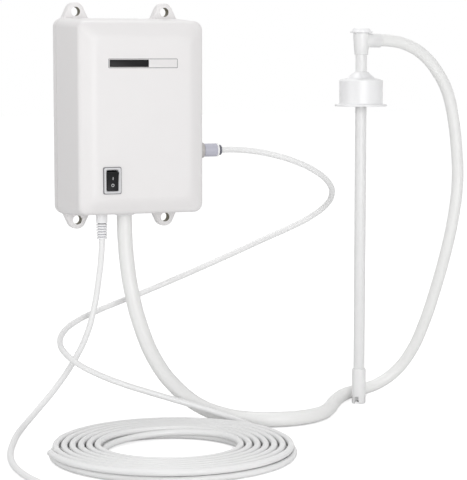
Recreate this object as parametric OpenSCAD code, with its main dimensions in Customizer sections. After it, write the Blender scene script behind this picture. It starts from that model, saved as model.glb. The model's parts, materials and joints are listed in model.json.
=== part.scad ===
/* [Case] */
// Width of the case at the wall
case_w = 184; // [170:1:200]
// Height of the case at the wall
case_h = 266; // [258:1:274]
// Depth from the wall to the flat front panel
case_d = 114; // [112:1:124]
// Draw-in of each side between the gasket and the front edge
draft = 5; // [3:0.5:6]
// Outer corner radius
corner_r = 12; // [10:0.5:16]
// Wall thickness of both shells
wall = 3; // [2.5:0.25:3.5]
// Depth of the rear housing
rear_d = 15; // [14:0.5:17]
// Thickness of the gasket between the shells
seal_t = 1; // [0.6:0.1:1.6]
// Set-back of the gasket from the outer face
seal_inset = 0.6; // [0.3:0.1:1]
// Depth of the front bevel
bevel_d = 9; // [6:0.5:11]
// Width of the front bevel
bevel_w = 19; // [14:0.5:22]

/* [Wall ears] */
// Distance between the wall holes, side to side
hole_dx = 127; // [110:1:140]
// Distance between the wall holes, top to bottom
hole_dz = 284; // [284:1:290]
// Radius of an ear's round end
ear_r = 12.5; // [10:0.5:13]
// Thickness of an ear
ear_t = 14; // [10:0.5:14]
// Half the width of an ear at its foot
ear_foot = 18; // [16:0.5:20]
// Diameter of a wall hole
ear_hole_d = 12.6; // [10:0.2:13]

/* [Case screws] */
// Shank diameter of a case screw
case_screw_d = 4; // [3.5:0.1:4.5]
// Length of a case screw's shank
case_screw_len = 28; // [24:1:34]
// Head diameter of a case screw
case_screw_head_d = 8; // [7:0.2:8.6]
// Diameter of the screw bosses in the corners
boss_d = 13; // [12:0.5:13.5]
// Length of the front cover's screw bosses
boss_len = 30; // [28:1:36]

/* [Badge] */
// Width of the blank badge plate
badge_w = 96; // [80:1:110]
// Height of the blank badge plate
badge_h = 12.5; // [10:0.5:16]
// Thickness of the badge plate
badge_t = 0.8; // [0.5:0.1:1.2]
// Sideways place of the badge
badge_x = 0; // [-6:1:6]
// Height of the badge above the middle of the panel
badge_z = 72; // [55:1:85]

/* [Rocker switch] */
// Sideways place of the switch
switch_x = -44; // [-46:1:-38]
// Height of the switch's middle
switch_z = -82; // [-86:1:-78]
// Width of the switch frame's flange
switch_w = 25; // [24:0.5:28]
// Height of the switch frame's flange
switch_h = 36; // [35:0.5:39]
// Thickness of the switch frame's flange
switch_lip = 2.4; // [1.5:0.1:3]
// Width of the rocker
rocker_w = 15.5; // [15:0.5:17.5]
// Height of the rocker
rocker_h = 25; // [23:0.5:25.5]
// Tilt of the rocker at rest, pressed at its lower end
rocker_tilt = 7; // [5:0.5:8]
// Distance from the rocker's pivot to the panel's face
rocker_set = 6; // [5:0.5:7]
// Diameter of the rocker's pivot pins
rocker_pin_d = 3; // [2.5:0.1:3.5]

/* [Outlet fitting] */
// Depth of the outlet behind the wall plane
out_depth = 80; // [78:0.5:82]
// Height of the outlet
out_z = -46; // [-49:1:-43]
// Outer diameter of the outlet tube
tube_od = 8; // [7.8:0.05:8.2]
// Diameter of the fitting's body
fitting_d = 18; // [16:0.5:20]
// Diameter of the fitting's collar
collar_d = 21; // [20:0.5:23]
// Length of the fitting's collar
collar_len = 6.5; // [5:0.5:8]
// Length of the fitting's body beyond the collar
fitting_len = 21.5; // [20:0.5:24]
// Travel of the release collet
collet_travel = 1.5; // [1:0.1:2]
// Diameter of the release collet's rim
collet_rim_d = 14; // [12:0.5:16]

/* [Cord and hose entries] */
// Depth of the cord and hose entries behind the wall plane
entry_depth = 58; // [56:0.5:60]
// Sideways place of the cord
cord_x = -42; // [-44:0.5:-40]
// Diameter of the power cord
cord_d = 8.2; // [8:0.1:8.4]
// Length of the strain relief below the case
relief_len = 33; // [26:1:36]
// Diameter of the strain relief at the case
relief_d = 15.4; // [14.6:0.2:16]
// Count of ribs on the strain relief
relief_ribs = 9; // [6:1:10]
// Sideways place of the suction hose
hose_x = -10; // [-11:0.5:-9]
// Outer diameter of the suction hose at the pump
hose_od = 20.5; // [19:0.5:21]
// Outer diameter of the suction hose at the bottle cap
hose_tip_od = 16.5; // [15.5:0.5:17]

/* [Pump] */
// Sideways place of the motor and pump axis
pump_x = 14; // [12:0.5:16]
// Depth of the motor and pump axis behind the wall plane
pump_depth = 62; // [60:0.5:63]
// Outer diameter of the motor
motor_d = 54; // [50:0.5:56]
// Length of the motor can
motor_len = 86; // [80:1:90]
// Diameter of the motor shaft
shaft_d = 6; // [5:0.1:6.5]
// Width of the pump head
head_w = 70; // [68:0.5:72]
// Depth of the pump head, front to back
head_dep = 56; // [54:0.5:57]
// Height of the pump head
head_h = 26; // [24:0.5:28]
// Height of the crank housing
crank_h = 25; // [24:0.5:28]
// Throw of the eccentric
throw = 2.5; // [1.5:0.1:3]
// Depth from the wall plane to the pump base's back face
base_depth = 20; // [18:0.5:21]

/* [Control board] */
// Width of the board
board_w = 46; // [42:1:50]
// Height of the board
board_h = 70; // [64:1:76]
// Sideways place of the board's middle
board_x = -56; // [-58:0.5:-55]
// Height of the board's middle
board_z = 55; // [50:1:60]
// Depth of the board's back face
board_depth = 13; // [11:0.5:14]

/* [Bottle cap and wand] */
// Outer diameter of the wand tube
wand_od = 15.6; // [14:0.1:16]
// Wall of the wand tube
wand_wall = 1.6; // [1.2:0.1:2]
// Outer diameter of the cap's skirt
cap_d = 60; // [56:0.5:64]
// Height of the cap's skirt
cap_skirt = 33; // [28:0.5:36]
// Diameter of the cap's bottom flange
cap_flange_d = 72; // [66:0.5:76]
// Wall of the cap
cap_wall = 2.2; // [1.8:0.1:2.6]
// Height of the cap's rim above the floor
cap_lift = 415; // [380:1:420]
// Outer diameter of the elbow's branch
branch_d = 18.8; // [18.8:0.2:20]
// Reach of the elbow's branch from the wand's axis
branch_len = 28; // [26:0.5:32]
// Diameter of the elbow's top plug
plug_top_d = 31; // [28:0.5:34]
// Diameter of the wand's foot
foot_d = 19.4; // [19:0.2:22]
// Length of the wand's foot
foot_len = 49; // [46:0.5:54]
// Lift of the foot valve
valve_lift = 6; // [4:0.5:7]

/* [Plug and coils] */
// Length of the plug's body
plug_len = 34; // [28:1:40]
// Height and width of the plug's body
plug_w = 26; // [26:0.5:30]
// Turns of the outlet tube's coil
tube_turns = 13.5; // [9.5:1:13.5]
// Radius of the outlet coil's outer turn
tube_coil_r = 150; // [144:1:156]
// Turns of the power cord's coil
cord_turns = 4.25; // [3.25:1:4.25]
// Radius of the power coil's outer turn
cord_coil_r = 52; // [51:1:56]

/* [Hidden] */
$fn = 48;
hull_fn = 32;
clear = 0.1;
slip = 0.05;

// Level of the floor below the wall holes' middle
floor_z = -402;

// Shells: the cover starts behind the gasket and its edge is where the bevel begins
cover_back = rear_d + seal_t;
cover_edge = case_d - bevel_d;
function draw_in(depth) = draft * (depth - cover_back) / (cover_edge - cover_back);
function half_w(depth) = case_w / 2 - draw_in(depth);
function half_h(depth) = case_h / 2 - draw_in(depth);
boss_x = case_w / 2 - corner_r + 1.5;
boss_z = case_h / 2 - corner_r + 1.5;
boss_spigot_d = boss_d - 4.2;
pilot_d = case_screw_d + 2 * clear;
screw_seat = 4;

// Switch
switch_wall = 1.8;
switch_gap = 0.4;
switch_in_w = rocker_w + 2 * switch_gap;
switch_in_h = rocker_h + 2.8;
switch_box_w = switch_in_w + 2 * switch_wall;
switch_box_h = switch_in_h + 2 * switch_wall;
switch_box_d = 20;
switch_back = case_d - switch_box_d;
switch_body_t = 4;
blade_len = 12;
blade_step = 16;
blade_end = switch_back - switch_body_t - blade_len;
pivot_depth = case_d - rocker_set;

// Outlet fitting, along X from the pad on the case's right side
pad_d = collar_d + 3;
pad_out = half_w(out_depth) + 1.2;
pad_in = half_w(out_depth) - wall - 2;
thread_d = 12;
nut_t = 6;
barb_d = 6.8;
barb_len = 10;
fit_end = pad_out + collar_len + fitting_len;
tube_stop = pad_out + 8;
seal_seat = tube_stop + 4;
collet_bore_d = tube_od + 4;
collet_sleeve_d = collet_bore_d - 2 * clear;
oring_d = 1.9;
rim_t = 2.2;
rim_x = fit_end + collet_travel + 0.3;

// Entries in the case's bottom
entry_out = -half_h(entry_depth) - 1;
entry_in = -half_h(entry_depth) + wall + 1.5;
cord_hole_d = cord_d + 4;
hose_hole_d = hose_od + 3.6;
lip_t = 2.2;

// Pump stack, from the motor down
plate_t = 4;
dia_t = 3;
valve_t = 4;
crank_z = -plate_t - crank_h;
dia_z = crank_z - dia_t;
valve_z = dia_z - valve_t;
head_z = valve_z - head_h;
socket_len = 16;
socket_stop = head_z - 2;
bearing_d = 16;
bearing_h = 4;
cap_t = 8;
can_wall = 2;
arm_low = 22;
arm_high = motor_len - 24;
arm_d = motor_d - 12;
winding_h = 8;
magnet_t = 3.2;
piston_r = 15;
head_screw_d = 4;
head_screw_x = head_w / 2 - 5;
head_screw_y = head_dep / 2 - 5;
base_t = 2;
base_w = 84;
base_h = 104;
base_mid = 30;
foot_x = 36;
foot_z = 42;
foot_screw_d = 4;
foot_rubber_d = 14;
foot_boss_d = 12;
strap_t = 1.5;
strap_h = 10;
strap_zs = [21, 61];
saddle_w = 48;
saddle_h = strap_h + 2;
saddle_gap = 12;
strap_screw_x = 35;
strap_screw_d = 3;

// Board
board_t = 1.6;
board_screw_d = 2.5;
board_hole_dx = board_w - 8;
board_hole_dz = board_h - 8;

// Cap and liner
cap_z = floor_z + cap_lift;
cap_lip = 3;
cap_cone = 8;
cap_slope = 3;
cap_top = cap_z + cap_lip + cap_skirt;
liner_t = 2.8;

// Plug, along X from the end of the coil's lead
relief_plug_len = 20;
blade_w = 6.4;
blade_t = 1.5;
blade_out = 17.5;
blade_gap = 12.7;

// Route of the suction hose, from the pump head to the elbow's branch
HOSE = [
    [hose_x, -58, -70], [hose_x, -58, -104], [hose_x, -58, -140], [-8.5, -60, -185], [-4, -68, -235],
    [5, -84, -286], [18, -108, -329], [35, -137, -359], [57, -168, -380], [82, -199, -389.5],
    [109, -226, -391.7], [143, -240, -391.7], [180, -238, -391.9], [212, -221, -392.2], [236, -193, -392.4],
    [258, -159, -392.6], [282, -125, -392.9], [309, -97, -393.1], [338, -82, -392.8], [366, -79, -386],
    [390.5, -83, -369], [409.5, -92, -341], [424, -103, -300], [436, -114, -250], [447, -123, -197],
    [456, -129, -143], [461, -130, -93], [459, -130, -50], [453, -130, -6], [443, -130, 32],
    [427, -130, 60], [404, -130, 84], [377, -130, 98], [349.5, -130, 103], [323.5, -130, 103]
];

// The hose's diameter at each point: it narrows along the floor, between these two points
narrows_from = 9;
narrows_to = 21;
HOSE_D = [
    for (i = [0:len(HOSE) - 1])
        hose_od - (hose_od - hose_tip_od) * ease((i - narrows_from) / (narrows_to - narrows_from))
];

// Elbow, wand and foot, set by where the hose ends in the elbow's branch
hose_in = 14;
hose_end = HOSE[len(HOSE) - 1];
wand_x = hose_end[0] - branch_len + hose_in;
wand_depth = -hose_end[1];
branch_z = hose_end[2];
elbow_top = branch_z + branch_d / 2 + 1;
elbow_h = 30;
elbow_z = elbow_top - elbow_h;
elbow_d = 22.6;
elbow_low_d = wand_od + 3;
plug_rim = 2.2;
plug_dome = 3.8;
wand_in = 12;
foot_top = floor_z + foot_len;
foot_bore_d = wand_od - 0.6;
seat_z = floor_z + 17;
seat_t = 3;
disc_t = 3;
stem_d = 3.4;

// Route of the outlet tube, from the fitting to its coil on the floor
TUBE = [
    [98, -80, -46], [120, -80, -46], [140, -80, -46], [165, -82, -48], [193, -86, -53],
    [224, -90, -62], [256, -90, -76], [283, -80, -94], [298, -60, -113], [298, -38, -131],
    [283, -23, -147], [256, -18, -161], [214, -18, -177], [168, -18, -195], [121, -18, -213],
    [75, -18, -230], [30, -18, -246], [-8, -20, -258], [-44, -27, -269], [-76, -42, -279],
    [-100, -66, -289], [-112, -95, -299], [-112, -122, -308], [-101, -147, -319], [-79, -166, -331],
    [-50, -180, -343], [-18, -190, -354], [15, -198, -365], [44, -205, -374.5], [68, -214, -383],
    [87, -229, -389.6], [100, -252, -395], [107, -280, -397.8], [109, -308, -397.8], [109, -336, -397.8]
];

// Route of the power cord, from inside the case to its coil on the floor
CORD = [
    [-42, -58, -108], [-42, -58, -135], [-42, -58, -160], [-43, -58, -188], [-47, -58, -220],
    [-54, -59, -258], [-66, -63, -294], [-87, -71, -328], [-117, -85, -361], [-149, -108, -385],
    [-176, -145, -396], [-196, -190, -397], [-212, -235, -397], [-226, -280, -397], [-236, -325, -397],
    [-240, -370, -397], [-238, -412, -397], [-230, -452, -397], [-219, -492, -397], [-211, -530, -397],
    [-210, -554, -397], [-210, -566, -397]
];

// Leads from the cord to the switch, and from the board to the motor's end cap
lead_d = 2.4;
core_gap = 3.2;
lead_z = CORD[0][2];
block_x = board_x + 14;
block_z = board_z + 17;
block_top = board_depth + board_t + 15.4;
block_gap = 8;
cap_end = motor_len + cap_t;
LEAD_A = [
    [cord_x - core_gap / 2, -entry_depth, lead_z], [cord_x - core_gap / 2, -entry_depth, lead_z + 6],
    [switch_x - 1, -entry_depth - 6, lead_z + 14], [switch_x, -blade_end + 6, switch_z - blade_step / 2],
    [switch_x, -blade_end, switch_z - blade_step / 2]
];
LEAD_B = [
    [cord_x + core_gap / 2, -entry_depth, lead_z], [cord_x + core_gap / 2, -entry_depth, lead_z + 10],
    [cord_x + core_gap / 2, -entry_depth - 2, lead_z + 22], [switch_x + 1, -blade_end + 12, lead_z + 32],
    [switch_x, -blade_end + 6, switch_z + blade_step / 2], [switch_x, -blade_end, switch_z + blade_step / 2]
];
MOTOR_A = [
    [block_x - block_gap / 2, -block_top, block_z], [block_x - block_gap / 2, -block_top - 6, block_z],
    [block_x + 2, -block_top - 16, block_z + 10], [pump_x - 40, -pump_depth + 8, cap_end + 4],
    [pump_x - 20, -pump_depth + 2, cap_end + 12], [pump_x - 10, -pump_depth, cap_end + 8],
    [pump_x - 10, -pump_depth, cap_end]
];
MOTOR_B = [
    [block_x + block_gap / 2, -block_top, block_z], [block_x + block_gap / 2, -block_top - 6, block_z],
    [block_x + 10, -block_top - 20, block_z + 8], [pump_x - 34, -pump_depth - 2, cap_end + 2],
    [pump_x - 14, -pump_depth - 12, cap_end + 16], [pump_x + 4, -pump_depth - 10, cap_end + 17],
    [pump_x + 10, -pump_depth, cap_end + 9], [pump_x + 10, -pump_depth, cap_end]
];

// Coils: centre on the floor, pitch between turns, rise between layers and first angle
tube_lead = 6;
tube_centre = TUBE[len(TUBE) - 1] + [-tube_coil_r, -tube_lead, 0];
tube_pitch = 10.2;
tube_rise = tube_od + 0.65;
cord_in = 7;
cord_centre = CORD[len(CORD) - 1] + [cord_coil_r, -cord_in, 0];
cord_pitch = cord_d + 0.7;
cord_rise = cord_d + 0.8;
cord_lead = 45;
coil_rings = 24;
tie_w = 8;
tie_t = 1;

// Helpers: rounded rectangle facing the front, slabs and round bars along each axis

module rounded(w, h, r) {
    square([w - 2 * r, h], center = true);
    square([w, h - 2 * r], center = true);
    for (x = [-1, 1], z = [-1, 1]) translate([x * (w / 2 - r), z * (h / 2 - r)]) circle(r = r);
}

module slab(w, h, r, near, far) {
    translate([0, -near, 0]) rotate([90, 0, 0]) linear_extrude(far - near) rounded(w, h, r);
}

module x_bar(d, from, to) {
    translate([from, 0, 0]) rotate([0, 90, 0]) cylinder(d = d, h = to - from);
}

module y_bar(d, near, far) {
    translate([0, -near, 0]) rotate([90, 0, 0]) cylinder(d = d, h = far - near);
}

module z_bar(d, from, to) {
    translate([0, 0, from]) cylinder(d = d, h = to - from);
}

module at_corners(x, z) {
    for (sx = [-1, 1], sz = [-1, 1]) translate([sx * x, 0, sz * z]) children();
}

module at_pump() {
    translate([pump_x, -pump_depth, 0]) children();
}

module at_wand() {
    translate([wand_x, -wand_depth, 0]) children();
}

module at_outlet() {
    translate([0, -out_depth, out_z]) children();
}

module at_entry(x) {
    translate([x, -entry_depth, 0]) children();
}

// Helpers: tubes swept along a list of points

function unit(v) = v / norm(v);
function tangents(p) = [
    for (i = [0:len(p) - 1]) unit(p[min(i + 1, len(p) - 1)] - p[max(i - 1, 0)])
];
function square_to(t) = unit(cross(t, abs(t[2]) < 0.8 ? [0, 0, 1] : [1, 0, 0]));
function normals(t) = [
    for (
        i = 0, n = square_to(t[0]);
        i < len(t);
        i = i + 1, n = i < len(t) ? unit(n - (n * t[i]) * t[i]) : n
    ) n
];
function ring(p, t, n, r, sides) = [
    for (k = [0:sides - 1]) p + r * (cos(360 * k / sides) * n + sin(360 * k / sides) * cross(t, n))
];

// A round bar along a path, of one diameter or of one for each point
module swept(path, d, sides) {
    t = tangents(path);
    n = normals(t);
    last = len(path) - 1;
    points = [for (i = [0:last]) each ring(path[i], t[i], n[i], (is_list(d) ? d[i] : d) / 2, sides)];
    walls = [
        for (i = [0:last - 1], k = [0:sides - 1])
            let (a = i * sides + k, b = i * sides + (k + 1) % sides)
                each [[a, a + sides, b], [b, a + sides, b + sides]]
    ];
    start = [for (k = [1:sides - 2]) [0, k, k + 1]];
    end = [for (k = [1:sides - 2]) [last * sides, last * sides + k + 1, last * sides + k]];
    polyhedron(points, concat(start, walls, end));
}

// Helpers: a coil of two layers that winds in below and out above

function ease(u) = let (v = min(max(u, 0), 1)) v * v * (3 - 2 * v);
function coil_point(c, r, pitch, rise, turns, first, way, s) =
    let (q = r - pitch * min(s, turns - s), a = first + way * 360 * s)
        c + [q * cos(a), q * sin(a), rise * ease((s - turns / 2) / 0.5 + 0.5)];
function coil_loops(c, r, pitch, rise, turns, first, way) = [
    for (i = [0:round(turns * coil_rings)])
        coil_point(c, r, pitch, rise, turns, first, way, i / coil_rings)
];
function coil_way(first, way, turns) =
    let (a = first + way * 360 * turns) way * [-sin(a), cos(a), 0];
function least_gap(p, d) = min([
    for (i = [0:len(p) - 1], j = [i + coil_rings / 2:1:len(p) - 1]) norm(p[i] - p[j])
]) - d;

tube_loops = coil_loops(tube_centre, tube_coil_r, tube_pitch, tube_rise, tube_turns, 0, -1);
TUBE_COIL = concat(
    [TUBE[len(TUBE) - 1]],
    tube_loops,
    [tube_loops[len(tube_loops) - 1] + tube_od * coil_way(0, -1, tube_turns)]
);
cord_loops = coil_loops(cord_centre, cord_coil_r, cord_pitch, cord_rise, cord_turns, 180, 1);
cord_end = cord_loops[len(cord_loops) - 1] + cord_lead * coil_way(180, 1, cord_turns);
CORD_COIL = concat([CORD[len(CORD) - 1]], cord_loops, [cord_end]);
echo("least gap within outlet_coil", least_gap(tube_loops, tube_od));
echo("least gap within power_coil", least_gap(cord_loops, cord_d));

// Case

module ear_outline() {
    rise = hole_dz / 2 - case_h / 2;
    hull() {
        circle(r = ear_r);
        translate([-ear_foot, -rise - wall]) square([2 * ear_foot, wall]);
    }
}

module ear(x, z) {
    translate([x * hole_dx / 2, 0, z * hole_dz / 2]) rotate([90, 0, 0])
        linear_extrude(ear_t) mirror([0, z < 0 ? 1 : 0]) ear_outline();
}

module rear_housing() {
    color("white") difference() {
        union() {
            difference() {
                union() {
                    slab(case_w, case_h, corner_r, 0, rear_d);
                    for (x = [-1, 1], z = [-1, 1]) ear(x, z);
                }
                slab(case_w - 2 * wall, case_h - 2 * wall, corner_r - wall, wall, rear_d + 1);
            }
            intersection() {
                slab(case_w - wall, case_h - wall, corner_r - wall / 2, 0, rear_d);
                at_corners(boss_x, boss_z) y_bar(boss_d, 1, rear_d);
            }
            at_corners(boss_x, boss_z) y_bar(boss_spigot_d, rear_d - 1, cover_back);
            translate([pump_x, 0, base_mid]) at_corners(foot_x, foot_z)
                y_bar(foot_boss_d, 1, base_depth - 10);
            translate([board_x, 0, board_z]) at_corners(board_hole_dx / 2, board_hole_dz / 2)
                y_bar(7, 1, board_depth);
        }
        at_corners(hole_dx / 2, hole_dz / 2) y_bar(ear_hole_d, -1, ear_t + 1);
        at_corners(boss_x, boss_z) {
            y_bar(case_screw_d + 0.6, -1, cover_back + 1);
            y_bar(case_screw_head_d + 1, -1, screw_seat);
        }
        translate([pump_x, 0, base_mid]) at_corners(foot_x, foot_z)
            y_bar(foot_screw_d + 2 * slip, wall, base_depth);
        translate([board_x, 0, board_z]) at_corners(board_hole_dx / 2, board_hole_dz / 2)
            y_bar(board_screw_d + 2 * slip, wall, board_depth + 1);
    }
}

module cover_block(inset, back) {
    front_w = 2 * half_w(cover_edge) - 2 * bevel_w;
    front_h = 2 * half_h(cover_edge) - 2 * bevel_w;
    hull() {
        slab(case_w - 2 * inset, case_h - 2 * inset, corner_r - inset,
            back, cover_back + 0.01, $fn = hull_fn);
        slab(2 * half_w(cover_edge) - 2 * inset, 2 * half_h(cover_edge) - 2 * inset, corner_r - inset,
            cover_edge - 0.6 * inset - 0.01, cover_edge - 0.6 * inset, $fn = hull_fn);
        slab(front_w - inset, front_h - inset, corner_r - inset,
            case_d - inset - 0.01, case_d - inset, $fn = hull_fn);
    }
}

module front_cover() {
    color("white") difference() {
        union() {
            difference() {
                cover_block(0, cover_back);
                cover_block(wall, cover_back - 1);
            }
            intersection() {
                cover_block(wall / 2, cover_back);
                at_corners(boss_x, boss_z) y_bar(boss_d, cover_back, cover_back + boss_len);
            }
            at_outlet() x_bar(pad_d, pad_in, pad_out);
            at_entry(cord_x) z_bar(relief_d + 5, entry_out, entry_in);
            at_entry(hose_x) z_bar(hose_hole_d + 5, entry_out, entry_in);
        }
        at_corners(boss_x, boss_z) y_bar(pilot_d, cover_back - 1, cover_back + case_screw_len);
        translate([switch_x, 0, switch_z])
            slab(switch_box_w + 2 * clear, switch_box_h + 2 * clear, 1, case_d - 2 * wall, case_d + 1);
        at_outlet() x_bar(thread_d + 2 * clear, pad_in - 1, pad_out + 1);
        at_entry(cord_x) z_bar(cord_hole_d + 2 * clear, entry_out - 1, entry_in + 1);
        at_entry(hose_x) z_bar(hose_hole_d + 2 * clear, entry_out - 1, entry_in + 1);
    }
}

module cover_seal() {
    color("gray") difference() {
        slab(case_w - 2 * seal_inset, case_h - 2 * seal_inset, corner_r - seal_inset, rear_d, cover_back);
        slab(case_w - 2 * wall, case_h - 2 * wall, corner_r - wall, rear_d - 1, cover_back + 1);
    }
}

module cover_screws() {
    color("silver") at_corners(boss_x, boss_z) {
        difference() {
            y_bar(case_screw_head_d, screw_seat - 3, screw_seat);
            translate([0, 0, -0.6]) translate([-2.5, -screw_seat + 1.6, 0]) cube([5, 2, 1.2]);
        }
        y_bar(case_screw_d, screw_seat, screw_seat + case_screw_len);
    }
}

module badge_plate() {
    color("black") translate([badge_x, 0, badge_z]) slab(badge_w, badge_h, 1.5, case_d, case_d + badge_t);
}

// Rocker switch

module switch_frame() {
    color("gray") translate([switch_x, 0, switch_z]) difference() {
        union() {
            slab(switch_w, switch_h, 2, case_d, case_d + switch_lip);
            slab(switch_box_w, switch_box_h, 1, switch_back, case_d);
        }
        slab(switch_in_w, switch_in_h, 0.8, switch_back - 1, case_d + switch_lip + 1);
        translate([0, -pivot_depth, 0])
            x_bar(rocker_pin_d + 2 * slip, -switch_box_w / 2 - 1, switch_box_w / 2 + 1);
    }
}

module switch_rocker() {
    front = rocker_set + switch_lip + 2.6;
    hollow_r = 60;
    hollow = 1.6;
    color("#181818") translate([switch_x, -pivot_depth, switch_z]) rotate([rocker_tilt, 0, 0]) {
        difference() {
            translate([-rocker_w / 2, -front, -rocker_h / 2]) cube([rocker_w, front + 4, rocker_h]);
            translate([0, -front - hollow_r + hollow, 0]) x_bar(2 * hollow_r, -rocker_w, rocker_w, $fn = 96);
        }
        x_bar(rocker_pin_d, -switch_box_w / 2 + clear, switch_box_w / 2 - clear);
    }
}

module switch_body() {
    color("#202020") translate([switch_x, 0, switch_z])
        slab(switch_box_w, switch_box_h, 1, switch_back - switch_body_t, switch_back);
}

module switch_terminals() {
    color("gold") translate([switch_x, 0, switch_z]) for (z = [-1, 1])
        translate([0, 0, z * blade_step / 2]) slab(6.3, 0.8, 0.3, blade_end, blade_end + blade_len);
}

// Outlet fitting

module outlet_fitting() {
    color("white") at_outlet() difference() {
        union() {
            x_bar(barb_d, pad_in - nut_t - 2 - barb_len, pad_in);
            x_bar(thread_d, pad_in - nut_t - 2, pad_out);
            x_bar(collar_d, pad_out, pad_out + collar_len);
            x_bar(fitting_d, pad_out + collar_len, fit_end);
        }
        x_bar(4, 0, tube_stop + 1);
        x_bar(tube_od + 2 * slip, tube_stop, seal_seat + 1);
        x_bar(collet_bore_d, seal_seat, fit_end + 1);
    }
}

module outlet_collet() {
    color("dimgray") at_outlet() difference() {
        union() {
            x_bar(collet_sleeve_d, seal_seat + oring_d + collet_travel + 1, rim_x);
            x_bar(collet_rim_d, rim_x, rim_x + rim_t);
        }
        x_bar(tube_od + 0.3, seal_seat, rim_x + rim_t + 1);
    }
}

module outlet_oring() {
    middle = (tube_od + collet_bore_d) / 4;
    color("#151515") at_outlet() translate([seal_seat + oring_d / 2, 0, 0]) rotate([0, 90, 0])
        rotate_extrude() translate([middle, 0]) circle(d = oring_d);
}

module outlet_locknut() {
    color("white") at_outlet() difference() {
        translate([pad_in - nut_t, 0, 0]) rotate([0, 90, 0]) cylinder(d = pad_d - 1, h = nut_t, $fn = 6);
        x_bar(thread_d + 2 * slip, pad_in - nut_t - 1, pad_in + 1);
    }
}

module outlet_inner_tube() {
    color("white") at_outlet() difference() {
        x_bar(barb_d + 3, pump_x + head_w / 2, pad_in - nut_t - 2);
        x_bar(barb_d + 2 * slip, 0, pad_in);
    }
}

// Cord and hose entries

module cord_strain_relief() {
    step = relief_len / relief_ribs;
    thin = cord_d + 2.8;
    taper = 1.4;
    function outer(k) = relief_d - taper * k / relief_ribs;
    profile = concat(
        [[cord_d / 2 + clear, entry_in + lip_t], [relief_d / 2, entry_in + lip_t], [relief_d / 2, entry_in],
         [cord_hole_d / 2, entry_in], [cord_hole_d / 2, entry_out]],
        [for (k = [0:relief_ribs - 1]) each [
            [outer(k) / 2, entry_out - k * step], [outer(k) / 2, entry_out - (k + 0.62) * step],
            [thin / 2, entry_out - (k + 0.66) * step], [thin / 2, entry_out - (k + 1) * step]
        ]],
        [[cord_d / 2 + clear, entry_out - relief_len]]
    );
    color("white") at_entry(cord_x) rotate_extrude() polygon(profile);
}

module cord_clip() {
    color("white") at_entry(cord_x) difference() {
        z_bar(cord_d + 6, entry_in + lip_t, entry_in + lip_t + 6);
        z_bar(cord_d + 2 * slip, entry_in, entry_in + lip_t + 7);
        translate([-0.6, 0, entry_in]) cube([1.2, cord_d + 6, 20]);
    }
}

module hose_grommet() {
    color("whitesmoke") at_entry(hose_x) difference() {
        union() {
            z_bar(hose_hole_d + 2.4, entry_in, entry_in + lip_t);
            z_bar(hose_hole_d, entry_out, entry_in);
            z_bar(hose_hole_d + 2.4, entry_out - lip_t / 2, entry_out);
        }
        z_bar(hose_od + 0.3, entry_out - lip_t, entry_in + lip_t + 1);
    }
}

// Pump mounting

module pump_base() {
    color("silver") difference() {
        union() {
            translate([pump_x, 0, base_mid]) slab(base_w, base_h, 5, base_depth, base_depth + base_t);
            for (z = strap_zs) translate([pump_x - saddle_w / 2, -pump_depth + saddle_gap, z - saddle_h / 2])
                cube([saddle_w, pump_depth - saddle_gap - base_depth - base_t, saddle_h]);
        }
        at_pump() z_bar(motor_d + 2 * clear, base_mid - base_h, base_mid + base_h);
        translate([pump_x, 0, base_mid]) at_corners(foot_x, foot_z)
            y_bar(foot_screw_d + 0.4, 0, pump_depth);
        for (z = strap_zs, x = [-1, 1]) translate([pump_x + x * strap_screw_x, 0, z])
            y_bar(strap_screw_d + 2 * slip, base_depth - 1, base_depth + base_t + 1);
    }
}

module rubber_feet() {
    color("#252525") translate([pump_x, 0, base_mid]) at_corners(foot_x, foot_z) difference() {
        y_bar(foot_rubber_d, base_depth - 10, base_depth);
        y_bar(foot_screw_d + 0.4, base_depth - 11, base_depth + 1);
    }
}

module foot_screws() {
    color("silver") translate([pump_x, 0, base_mid]) at_corners(foot_x, foot_z) {
        y_bar(foot_screw_d, wall + 1, base_depth + base_t);
        y_bar(2 * foot_screw_d, base_depth + base_t, base_depth + base_t + 3);
    }
}

module motor_straps() {
    inner = motor_d / 2 + clear;
    outer = inner + strap_t;
    foot = base_depth + base_t;
    color("silver") for (z = strap_zs) translate([0, 0, z - strap_h / 2]) difference() {
        union() {
            at_pump() difference() {
                cylinder(r = outer, h = strap_h);
                translate([-outer - 1, 0, -1]) cube([2 * outer + 2, outer + 1, strap_h + 2]);
            }
            for (x = [-1, 1]) translate([pump_x + x * (inner + strap_t / 2) - strap_t / 2, -pump_depth, 0])
                cube([strap_t, pump_depth - foot, strap_h]);
            for (x = [-1, 1]) translate([pump_x + x * (inner + 7) - 7, -foot - strap_t, 0])
                cube([14, strap_t, strap_h]);
        }
        at_pump() translate([0, 0, -1]) cylinder(r = inner, h = strap_h + 2);
        for (x = [-1, 1]) translate([pump_x + x * strap_screw_x, 0, strap_h / 2])
            y_bar(strap_screw_d + 0.4, foot - 1, foot + strap_t + 1);
    }
}

module strap_screws() {
    seat = base_depth + base_t + strap_t;
    color("silver") for (z = strap_zs, x = [-1, 1]) translate([pump_x + x * strap_screw_x, 0, z]) {
        y_bar(strap_screw_d, base_depth, seat);
        y_bar(2 * strap_screw_d, seat, seat + 2);
    }
}

// Motor

module motor_can() {
    color("gray") at_pump() difference() {
        z_bar(motor_d, 0, motor_len);
        z_bar(motor_d - 2 * can_wall, can_wall, motor_len + 1);
        z_bar(bearing_d - 4, -1, can_wall + 1);
    }
}

module motor_magnets() {
    outer = motor_d / 2 - can_wall - slip;
    low = arm_low - 4;
    color("#303030") at_pump() translate([0, 0, low]) for (a = [15, 195]) rotate([0, 0, a])
        rotate_extrude(angle = 150) translate([outer - magnet_t, 0]) square([magnet_t, arm_high + 6 - low]);
}

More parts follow.
